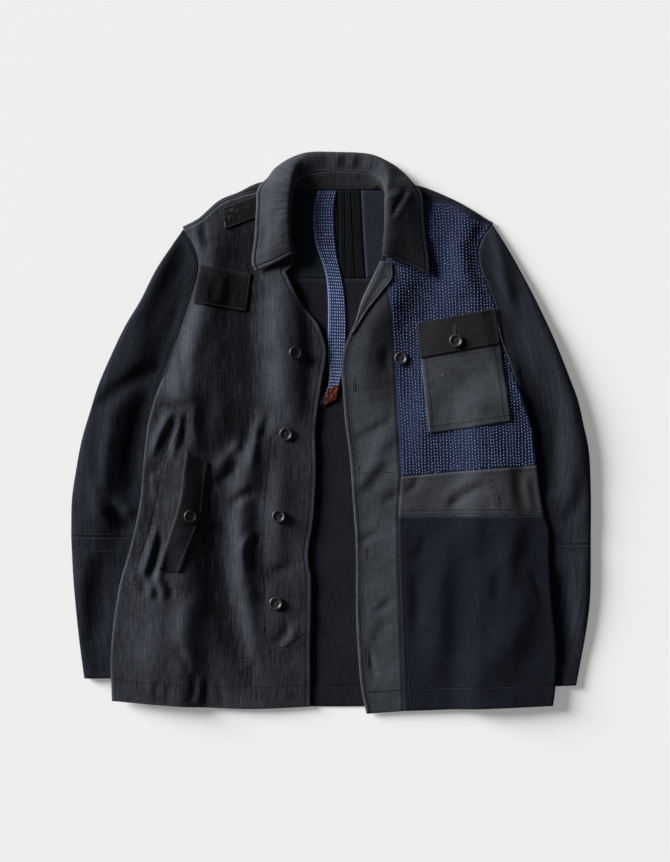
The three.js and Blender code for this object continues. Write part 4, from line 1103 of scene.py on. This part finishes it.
# Chest pocket: a grey slub patch pocket turned in and double stitched, under a dark flap woven
# with rows of raised dots. The flap has a worked buttonhole above its button.
pocket_grid = patch_grid([[137, -1], [251, 16], [237, 124], [126, 105]], 34, 34)
chest_pocket = wall("chest_pocket_cloth", *on(pocket_grid, on_front),
                    cloth=np.dstack(np.meshgrid(np.linspace(0, 114, 35), np.linspace(0, 108, 35))))
f = new_finish("pocket_grey")
colour, roughness, relief = grey_slub(f, (0.016, 0.0178, 0.0212), (0.062, 0.0685, 0.08), 170)
turned_in = (f.foot.at(7.5, 1.3) + f.left.at(7.5, 1.3) + f.right.at(7.5, 1.3)).within()
fleck = noise(f, 1.6, 2.4, 177).between(0.3, 0.7) * ((f.u - 27).math("ABSOLUTE") * -1).between(-1.6, 0) \
    * ((f.v - 79).math("ABSOLUTE") * -1).between(-2.6, 0)
# Painted shade in the stitched ditches where the pocket's edges are turned in.
colour = (turned_in * 0.45).over(colour, (0.008, 0.009, 0.01))
lay(chest_pocket, "chest_pocket",
    close(f, fleck.over(colour, (0.45, 0.17, 0.05)), roughness,
          relief - turned_in * 0.5 + (1 - f.edge.between(0, 7)) * 0.35))

FLAP_RISE = CLOTH + 0.4
flap_grid = patch_grid([[125, 104], [237, 125], [231, 174], [120, 153]], 34, 16)


def flap_under(x, y):
    return on_front(x, y) + FLAP_RISE


pocket_flap = wall("chest_pocket_flap_cloth", *on(flap_grid, flap_under),
                   cloth=np.dstack(np.meshgrid(np.linspace(0, 113, 35), np.linspace(0, 49, 17))))
f = new_finish("dotted_flap")
dots = (f.u.wave(3.3) * (f.v + 1.1 * (f.u * (1 / 3.3)).math("ROUND")).wave(2.2)).between(0.35, 0.8)
hue = noise(f, 9, 9, 180, 1).between(0.4, 0.6).to((0.04, 0.024, 0.03), (0.022, 0.036, 0.03))
base = noise(f, 1, 20, 181, 2).to((0.006, 0.0065, 0.0078), (0.0155, 0.0165, 0.019))
weft = noise(f, 30, 1.4, 183, 2)
lay(pocket_flap, "chest_pocket_flap",
    close(f, (dots * 0.75).over(base, hue), 0.85 + 0.1 * weft,
          dots * 0.5 + weft * 0.2 + noise(f, 14, 14, 184) * 0.8))
inner = round_inside(pocket_grid, 7.5)
inner = inner[(inner - [126, 105]) @ [-0.17, 0.985] < -6]
pocket_stitching = stitches("pocket_stitching", *pace(
    [on_top(round_inside(pocket_grid, 2.2)[:72], on_front, CLOTH + THREAD_LIFT),
     on_top(inner, on_front, CLOTH + THREAD_LIFT),
     on_top(round_inside(flap_grid, 2.5), flap_under, CLOTH + THREAD_LIFT)], 2.9), dark_thread, 2.1, 0.65)
flap_hole = buttonhole(173, 143, 14, lambda x, y: flap_under(x, y) + CLOTH, -0.05)
flap_buttonhole = stitches("flap_buttonhole", *flap_hole, dark_thread, 2.2, 0.7, 0.5, 3)


# Lapel: the left front's top corner is turned back along its roll, showing the placket's inside,
# with the last buttonhole near its point.
LAPEL_CLOTH = 1.4
LAPEL_RISE = 1.2
ROLL = [[27, 136], [35, 157], [43, 185], [56, 213], [69, 239]]
LAPEL_OUTER = [[32, 141], [50, 170], [72, 198], [85, 216], [85, 238]]
roll, outer = spline(ROLL, 60), spline(LAPEL_OUTER, 60)
base = front_top(*roll.T) + LAPEL_RISE
lift = mix(0.6, 2.6, smooth(np.arange(61) / 34))
stations = np.stack([
    np.column_stack([mix(roll, outer, 0.02), base + 0.4 * lift]),
    np.column_stack([mix(roll, outer, 0.2), base + 1.4 * lift]),
    np.column_stack([mix(roll, outer, 0.6), base + lift + 0.4]),
    np.column_stack([outer, front_top(*outer.T) + ON_FRONT + CLOTH / 2 + 0.2])], axis=1)
lapel_middle = np.stack([spline(station, 14) for station in stations])[::-1]
lapel = wall("left_lapel_facing_cloth", *thick(lapel_middle, LAPEL_CLOTH)[::-1], cloth=lapel_middle[..., :2])
f = new_finish("lapel_grey")
colour, roughness, relief = grey_slub(f, (0.018, 0.020, 0.024), (0.066, 0.071, 0.083), 190)
ditch = f.right.at(3, 1.2) + f.left.at(4, 1.2)
lay(lapel, "left_lapel_facing",
    close(f, (ditch * 0.5).within().over(colour, GREY_SEAM_SHADE), roughness, relief - ditch * 0.4),
    area=0.0024)
k = int(np.argmin(np.hypot(*(lapel_middle[:, 8, :2] - [74, 219]).T)))
hole_along = lapel_middle[k, 11] - lapel_middle[k, 4]
hole_along /= np.linalg.norm(hole_along)
hole_side = lapel_middle[k - 2, 8] - lapel_middle[k + 2, 8]
hole_side /= np.linalg.norm(hole_side)
t = np.linspace(-5, 5, 13)
hole_at = np.vstack([lapel_middle[k, 8] + [0, 0, 0.95] + t[:, None] * hole_along + s * hole_side
                     for s in (-1.1, 1.1)])
lapel_hole = stitches("lapel_buttonhole", hole_at, np.tile(hole_side, (26, 1)), dark_thread, 2.0, 0.7, 0.45, 3)


# Sleeves: two-piece tubes of firm fine-striped cloth, pieced again above the cuff. They lie
# flattened, folded in at the elbow and tucked under the body's sides.
SLEEVE_LOFT = 16
ARMHOLE_SPACE = 1.4
SLEEVE_FOLDS = [
    (-5, 10, [[-230, 92], [-262, 84], [-292, 64], [-334, 32]]),
    (-5.5, 12, [[-249, 58], [-266, 26], [-276, -20], [-284, -84]]),
    (-4, 15, [[-206, 262], [-224, 225], [-242, 185], [-264, 138]]),
    (2.5, 14, [[-216, 276], [-246, 222], [-276, 160]]),
    (-5, 9, [[-310, -104], [-294, -126], [-268, -128]]),
    (3.6, 8, [[-302, -92], [-284, -108], [-262, -110]]),
    (3.2, 11, [[-302, 10], [-312, -36], [-314, -84]]),
    (2, 14, [[-330, -60], [-322, -110], [-306, -136]]),
    (-3, 14, [[-330, -180], [-336, -240], [-330, -300]]),
    (3.5, 9, [[228, 284], [236, 245], [244, 205], [258, 160]]),
    (-3, 10, [[248, 262], [260, 220], [268, 178]]),
    (-6.5, 17, [[264, 96], [286, 50], [298, 0], [294, -86]]),
    (3, 16, [[300, 150], [326, 70], [338, 0], [338, -60], [322, -104]]),
    (-3, 10, [[350, -60], [346, -100], [326, -126]]),
    (-4.6, 15, [[262, -190], [258, -250], [252, -330]]),
    (-3.5, 14, [[322, -190], [326, -250], [322, -330]]),
    (2.5, 13, [[350, -165], [350, -220], [346, -280]]),
]
SLEEVE_WRINKLES = [
    (1.6, 8, [[-292, 50], [-306, 20], [-316, -30]]),
    (-1.4, 8, [[-304, 0], [-308, -40], [-302, -90]]),
    (1.4, 8, [[-340, -20], [-334, -70], [-322, -115]]),
    (-1.4, 8, [[-318, -165], [-322, -215], [-316, -270]]),
    (1.4, 8, [[-345, -170], [-346, -220], [-340, -280]]),
    (-1.2, 8, [[-210, 190], [-216, 160], [-224, 130]]),
    (-1.3, 7, [[312, 10], [322, -40], [318, -80]]),
    (1.2, 8, [[330, -170], [336, -200], [336, -240]]),
    (-1.2, 8, [[282, 190], [300, 150], [312, 110]]),
    (1.2, 7, [[268, 150], [284, 110], [296, 70]]),
]
ARMHOLE_TOP = 7.4


def sleeve_top(x, y):
    outside = -inside_side(x, y)
    base = mix(SLEEVE_UNDER, ARMHOLE_TOP, smooth((y - 64) / 56))
    loft = mix(SLEEVE_LOFT - 3, SLEEVE_LOFT, smooth((y + 300) / 250))
    open_air = np.where(x < 0, smooth((outside - 12) / 44), smooth((outside - 20) / 50))
    folds = folds_at(SLEEVE_FOLDS, x, y) + folds_at(SLEEVE_WRINKLES, x, y) + 0.6 * crumple(x, y, 24, 15)
    return np.maximum(base - 3, mix(base, loft, open_air) + folds * smooth((outside - 2) / 12))


def sleeve_wall(name, outer_line, inner_line, n, armhole=None, sides=76, bow=5 / 12):
    outer, inner = spline(outer_line, n), spline(inner_line, n)
    turn = -pi / 2 + 2 * pi * np.arange(sides) / sides
    c, s = np.cos(turn), np.sin(turn)
    width = np.linalg.norm(outer - inner, axis=1)
    away = np.sign(outer[0, 0]) * ARMHOLE_SPACE
    sewn = None if armhole is None else spline([[x + away, y] for x, y in armhole], 200)
    fade = np.clip(1 - np.arange(n + 1) / (bow * n), 0, 1) ** 2

    def ring(inset):
        across = (1 + c[None] * (width[:, None] / 2 - inset) / (width[:, None] / 2)) / 2
        flat = inner[:, None] + (outer - inner)[:, None] * across[..., None]
        if sewn is not None:
            straight = inner[0] + (outer[0] - inner[0]) * across[..., None]
            curve = np.stack([np.interp(across, np.linspace(0, 1, 201), sewn[:, a]) for a in (0, 1)], -1)
            flat = flat + (curve - straight) * fade[:, None, None]
        round_off = (1 - np.abs(c) ** 4) ** 0.25
        top = sleeve_top(flat[..., 0], flat[..., 1])
        edge = np.minimum(top / 2, 5)
        z = np.where(s >= -1e-9, edge + (top - edge - inset) * round_off,
                     edge - (edge - inset) * np.minimum(1, round_off * 1.06))
        return np.dstack([flat, z])

    skin = ring(0)
    closed = np.concatenate([skin, skin[:, :1]], axis=1)
    u = np.cumsum(np.linalg.norm(np.diff(closed, axis=1, prepend=closed[:, :1]), axis=-1), axis=1)
    v = run_length((outer + inner) / 2)
    cloth = np.dstack([u, np.repeat(v[:, None], sides + 1, 1)])
    return wall(name, ring(CLOTH), skin, cloth=cloth, tube=True), skin


def sleeve_finish(name, seed, seam_side):
    f = new_finish(name)
    colour, roughness, relief = fine_stripe(f, sleeve_dark, sleeve_light, seed)
    seam = f.foot if seam_side == "foot" else f.head
    far = f.head if seam_side == "foot" else f.foot
    # Painted shade in the seam ditches.
    ditch = (seam.at(2.2, 1.6) + far.at(16 if seam_side == "foot" else 3, 1.6) * 0.6).within()
    return close(f, (ditch * 0.55).over(colour, (0.004, 0.0045, 0.006)), roughness,
                 relief - ditch * 0.6 - (1 - seam.between(0, 2)) * 0.5 + puckers(f, seam, seed) * 0.7)


RIGHT_SLEEVE_OUT = [[-208, 285], [-225, 260], [-246, 227], [-267, 185], [-288, 150], [-309, 106], [-326, 66],
                    [-337, 31], [-349, -10], [-357, -52], [-363, -94], [-364, -146]]
RIGHT_CUFF_OUT = [[-364, -146.6], [-361, -206], [-353, -290], [-346, -344]]
RIGHT_SLEEVE_IN = [[-258, 12], [-246, -60], [-238, -146]]
RIGHT_CUFF_IN = [[-238, -146.6], [-231, -230], [-225, -344]]
LEFT_SLEEVE_OUT = [[230, 290], [251, 255], [272, 216], [293, 174], [314, 128], [335, 75], [346, 45], [354, 10],
                   [361, -24], [364, -80], [364, -157]]
LEFT_CUFF_OUT = [[364, -157.6], [364, -192], [363, -234], [358, -276], [344, -354]]
LEFT_SLEEVE_IN = [[283, 7], [264, -60], [248, -157]]
LEFT_CUFF_IN = [[248, -157.6], [236, -250], [226, -358]]
sleeves = {}
for node, outline, steps, armhole, seed, flat in (
        ("sleeve_right_upper", (RIGHT_SLEEVE_OUT, RIGHT_SLEEVE_IN), 104, RIGHT_ARMHOLE, 200, (0.27, 0.45)),
        ("sleeve_right_lower", (RIGHT_CUFF_OUT, RIGHT_CUFF_IN), 50, None, 210, (0.26, 0.20)),
        ("sleeve_left_upper", (LEFT_SLEEVE_OUT, LEFT_SLEEVE_IN), 104, LEFT_ARMHOLE, 220, (0.27, 0.45)),
        ("sleeve_left_lower", (LEFT_CUFF_OUT, LEFT_CUFF_IN), 50, None, 230, (0.26, 0.20))):
    piece, sleeves[node] = sleeve_wall(node + "_cloth", *outline, steps, armhole)
    mark_fold_wear_and_shade(piece, lambda x, y: folds_at(SLEEVE_FOLDS, x, y))
    finish = sleeve_finish(node + "_stripe", seed, "foot" if "lower" in node else "head")
    lay(piece, node, finish, area=0.076 if "upper" in node else None)
rings = []
for node, places in (("sleeve_right_upper", (-2,)), ("sleeve_right_lower", (5, -2)),
                     ("sleeve_left_upper", (-2,)), ("sleeve_left_lower", (-2,))):
    skin = sleeves[node]
    rings += [np.vstack([skin[k], skin[k, :1]])[4:-4] + [0, 0, 0.1] for k in places]
sleeve_stitching = stitches("sleeve_stitching", *pace(rings, 3.2), dark_thread, 2.2, 0.65)


# Collar: a stand sewn round the neck and a leaf that rolls over it and falls on the shoulders.
# Slub stripe, with one row of stitching near its edge and creases where it turns the corners.
NECK_Z = 8.6
FALL_Z = 12
COLLAR = [
    # neck seam, stand seam, roll, middle of the leaf, edge of the leaf
    [[-50, 247, NECK_Z], [-50, 249, 15], [-53, 249, 18.5], [-80, 236, 15], [-106, 226, FALL_Z]],
    [[-55, 264, NECK_Z], [-54, 264, 19], [-57, 264, 23], [-82, 252, 18], [-110, 238, FALL_Z]],
    [[-58, 290, NECK_Z], [-56, 290, 21], [-60, 290, 25.5], [-80, 286, 21], [-106, 275, FALL_Z + 1.4]],
    [[-57.5, 318, NECK_Z], [-55, 319, 21.5], [-60, 320, 26.5], [-80, 318, 22], [-104, 312, FALL_Z + 2.2]],
    [[-54, 337, 4.6], [-51, 343, 20.5], [-57, 349, 25.5], [-79, 350, 20], [-101, 342, FALL_Z + 2]],
    [[-47, 341.6, 3.2], [-45, 353, 14.5], [-53, 369, 20.5], [-80, 367, 11], [-76, 362, 1.8]],
    [[-30, 341.6, 2.4], [-31, 361, 9], [-36, 388, 12.5], [-46, 388, 4.5], [-40, 366, 1.3]],
    [[13, 341.6, 2.4], [13, 365, 8], [13, 391, 10.5], [13, 390, 3], [13, 360, 1.3]],
    [[56, 341.6, 2.4], [57, 361, 9], [62, 385, 12.5], [70, 384, 4.5], [64, 363, 1.3]],
    [[71, 341.6, 3.2], [70, 352, 14.5], [77, 366, 20.5], [102, 361, 11], [98, 356, 1.8]],
    [[76, 336, 4.6], [75, 340, 20.5], [80, 345, 25.5], [103, 347, 20], [125, 338, FALL_Z + 2]],
    [[77, 316, NECK_Z], [75, 316, 21.5], [80, 316, 26.5], [103, 316, 22], [129, 311, FALL_Z + 0.6]],
    [[78, 290, NECK_Z], [75, 289, 21], [79, 288, 25.5], [105, 285, 21], [132, 277, FALL_Z + 0.4]],
    [[76.5, 264, NECK_Z], [73, 262, 19.5], [77, 261, 23.5], [106, 254, 18.5], [137, 241, FALL_Z + 0.4]],
    [[74, 250, NECK_Z + 2.6], [72, 248, 17], [75, 246, 20], [105, 236, 15.5], [138, 221, FALL_Z + 0.4]],
]
LEAF_START = 0.95
neck_line, stand_line, roll_line, mid_line, leaf_line = (
    spline([station[k] for station in COLLAR], 150) for k in range(5))
stand_middle = neck_line[:, None] + (stand_line - neck_line)[:, None] * np.linspace(0, 1, 9)[None, :, None]
along_neck = run_length(roll_line)
collar_stand = wall("collar_stand_cloth", *thick(stand_middle), cloth=np.dstack(
    [np.repeat(along_neck[:, None], 9, 1), np.repeat(np.linspace(0, 22, 9)[None], 151, 0)]))
f = new_finish("stand_stripe")
colour, roughness, relief = slub_stripe(f, (0.011, 0.012, 0.0135), (0.048, 0.052, 0.06), 240)
lay(collar_stand, "collar_stand",
    close(f, colour, roughness, relief - f.edge.at(3, 1.3) * 0.5 + puckers(f, f.edge, 240)),
    area=0.0062)

rise = roll_line - stand_line
start_line = stand_line + LEAF_START * rise / np.linalg.norm(rise, axis=1, keepdims=True)
leaf_middle = np.stack([spline(np.stack(section), 30) for section in
                        zip(start_line, roll_line, mid_line, leaf_line)])
leaf_low, leaf_top = thick(leaf_middle)
normal = (leaf_top - leaf_low) / CLOTH
s, t = np.meshgrid(along_neck, np.linspace(0, 62, 31), indexing="ij")
middle_of_back = smooth((s - 110) / 40) * (1 - smooth((s - 300) / 40))
wrinkles = (0.9 * np.sin(s / 5.2 + 1.5 * np.sin(s / 17)) * smooth(1 - np.abs(t - 14) / 14) * middle_of_back
            + 0.5 * crumple(s, t, 16, 21) * smooth(t / 14))
gy, gx = leaf_middle[..., 1], leaf_middle[..., 0]
wrinkles = wrinkles + folds_at([(2.2, 3.5, [[106, 340], [95, 322], [85, 302]]),
                                (-1.6, 4, [[112, 334], [101, 316], [90, 298]]),
                                (-1.3, 6, [[-66, 262], [-72, 282], [-70, 300]]),
                                (1.2, 7, [[-96, 252], [-92, 280], [-94, 305]])], gx, gy)
shift = np.clip(wrinkles, -1.2, 2.4)[..., None] * normal
collar_leaf = wall("collar_leaf_cloth", leaf_low + shift, leaf_top + shift, cloth=np.dstack([s, t]))
f = new_finish("collar_stripe")
colour, roughness, relief = slub_stripe(f, (0.010, 0.011, 0.0135), (0.060, 0.066, 0.08), 250)
# Painted light: the leaf on the wearer's right, which leans towards the lamp, is made paler in its outer part.
lit_leaf_painted_light = f.v.between(16, 40) * f.u.between(300, 160) * 0.3
colour = lit_leaf_painted_light.over(colour, (0.085, 0.092, 0.112))
# Painted shade: the leaf on the wearer's left, which leans away from the lamp, is made darker.
colour = (f.u.between(290, 400) * 0.75).over(colour, (0.0075, 0.0075, 0.0085))
ditch = f.right.at(5, 1.4) + f.foot.at(5, 1.4) + f.head.at(5, 1.4)
rolled = (1 - f.right.between(1, 4.5)) + (1 - f.foot.between(1, 4.5)) + (1 - f.head.between(1, 4.5))
lay(collar_leaf, "collar_leaf",
    close(f, (ditch * 0.7).within().over(colour, SEAM_SHADE), roughness,
          relief + rolled.within() * 0.7 - ditch.within() * 0.7),
    area=0.028)
collar_top = leaf_top + shift
collar_stitching = stitches("collar_stitching", *pace(
    [collar_top[3:-3, 27] + normal[3:-3, 27] * 0.1, collar_top[2, 4:28] + normal[2, 4:28] * 0.1,
     collar_top[-3, 4:28] + normal[-3, 4:28] * 0.1, collar_top[38:-38, 3] + normal[38:-38, 3] * 0.1], 3.0),
    dark_thread, 2.2, 0.7)


# Buttons: turned discs with a raised rim and a dished middle, two holes and thread sewn across them.
# Six are smooth charcoal, and the one on the hand pocket's flap is mottled brown.
BUTTON_R = 9.5
BUTTON_H = 3.4
HOLE_R = 1.15
HOLE_OUT = 2.1
PROFILE = [[0, 0], [BUTTON_R - 1.6, 0], [BUTTON_R - 0.5, 0.4], [BUTTON_R, 1.3], [BUTTON_R - 0.1, 2.4],
           [BUTTON_R - 0.7, 3.1], [BUTTON_R - 1.5, BUTTON_H], [BUTTON_R - 2.5, 3.2], [BUTTON_R - 3.3, 2.6],
           [BUTTON_R - 4.2, 1.9], [BUTTON_R - 6, 1.6], [0, 1.5]]
BUTTON_SIDES = 48


def button_finish(name, dark, light, mottled=0.0):
    f = new_finish(name)
    spots = f.first.node("TexCoord", {}, {}, out=3)
    cloud = f.first.node("TexNoise", {}, {"Vector": spots, "Scale": 260.0, "Detail": 3.0})
    scratch = f.first.node("TexNoise", {}, {"Vector": spots, "Scale": 900.0, "Detail": 2.0})
    value = cloud.between(0.42 - 0.1 * mottled, 0.6)
    return close(f, value.to(dark, light), 0.3 + 0.25 * scratch, scratch * 0.06, 0, 0.5)


plastic = button_finish("charcoal_button", (0.010, 0.0108, 0.0125), (0.024, 0.0255, 0.029))
mottled = button_finish("mottled_button", (0.006, 0.0045, 0.004), (0.024, 0.0135, 0.009), 1.0)
button_thread = thread_finish("button_thread", (0.012, 0.012, 0.014), (0.035, 0.036, 0.04))


def button(node, x, y, height, finish, spin):
    """A turned disc laid on the slope of the cloth under it, with its holes cut and sewn."""
    turn = np.arange(BUTTON_SIDES) * 2 * pi / BUTTON_SIDES
    rings = np.array([[[r * np.cos(a), r * np.sin(a), z] for a in turn] for r, z in PROFILE[1:-1]])
    points = np.vstack([[[0, 0, PROFILE[0][1]]], rings.reshape(-1, 3), [[0, 0, PROFILE[-1][1]]]])
    n, faces = BUTTON_SIDES, []
    for k in range(n):
        m = (k + 1) % n
        faces.append((0, 1 + m, 1 + k))
        for r in range(len(rings) - 1):
            a, b = 1 + r * n, 1 + (r + 1) * n
            faces.append((a + k, a + m, b + m, b + k))
        last = 1 + (len(rings) - 1) * n
        faces.append((last + k, last + m, len(points) - 1))
    mesh = bpy.data.meshes.new(node + "_disc")
    mesh.from_pydata((points * MM).tolist(), [], faces)
    mesh.uv_layers.new(name="cloth")
    mesh.shade_smooth()
    disc = bpy.data.objects.new(node + "_disc", mesh)
    bpy.context.collection.objects.link(disc)
    disc.data.materials.append(finish)
    for side in (-1, 1):
        bpy.ops.mesh.primitive_cylinder_add(vertices=20, radius=HOLE_R * MM, depth=12 * MM,
                                            location=(side * HOLE_OUT * MM, 0, 0))
        drill = bpy.context.object
        cut = disc.modifiers.new("hole", "BOOLEAN")
        cut.operation, cut.object, cut.solver = "DIFFERENCE", drill, "EXACT"
        bpy.context.view_layer.update()
        drilled = bpy.data.meshes.new_from_object(disc.evaluated_get(bpy.context.evaluated_depsgraph_get()))
        disc.modifiers.clear()
        disc.data = drilled
        bpy.data.objects.remove(drill)
    slope = 6.0
    e = [float(height(np.array([x + dx]), np.array([y + dy]))[0]) for dx, dy in
         ((slope, 0), (-slope, 0), (0, slope), (0, -slope), (0, 0))]
    normal = np.array([e[1] - e[0], e[3] - e[2], 2 * slope])
    normal /= np.linalg.norm(normal)
    first = np.array([np.cos(spin), np.sin(spin), 0])
    second = np.cross(normal, first)
    second /= np.linalg.norm(second)
    turned = np.stack([np.cross(second, normal), second, normal])
    foot = np.array([x, y, e[4]])
    flat = np.empty(len(disc.data.vertices) * 3)
    disc.data.vertices.foreach_get("co", flat)
    disc.data.vertices.foreach_set("co", (flat.reshape(-1, 3) @ turned + foot * MM).ravel())
    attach(disc, "root")
    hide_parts(node)
    local = np.array([[0, -0.45, 1.95], [0, 0.45, 1.95], [0, 0.0, 2.15]])
    sewn = stitches(node + "_thread", local @ turned + foot, np.tile(turned[0], (3, 1)), button_thread,
                    5.4, 0.75, 0.7, 2, 0.12)


def button_foot(x, y):
    return front_top(x, y) + 1.0


for k, (x, y, spin) in enumerate(((-50, 111, 2.4), (-63, -2, 2.3), (-73, -117, 0.4), (-77, -239, 0.2))):
    button(f"button_front_{k + 1}", x, y, button_foot, plastic, spin)
button("button_loop", 98, 104, button_foot, plastic, 0.5)
button("button_pocket", 174.5, 128, lambda x, y: flap_under(x, y) + CLOTH + 0.8, plastic,
       2.6)
button("button_welt", -196, -117, lambda x, y: on_front(x, y) + CLOTH + 0.8, mottled,
       0.3)
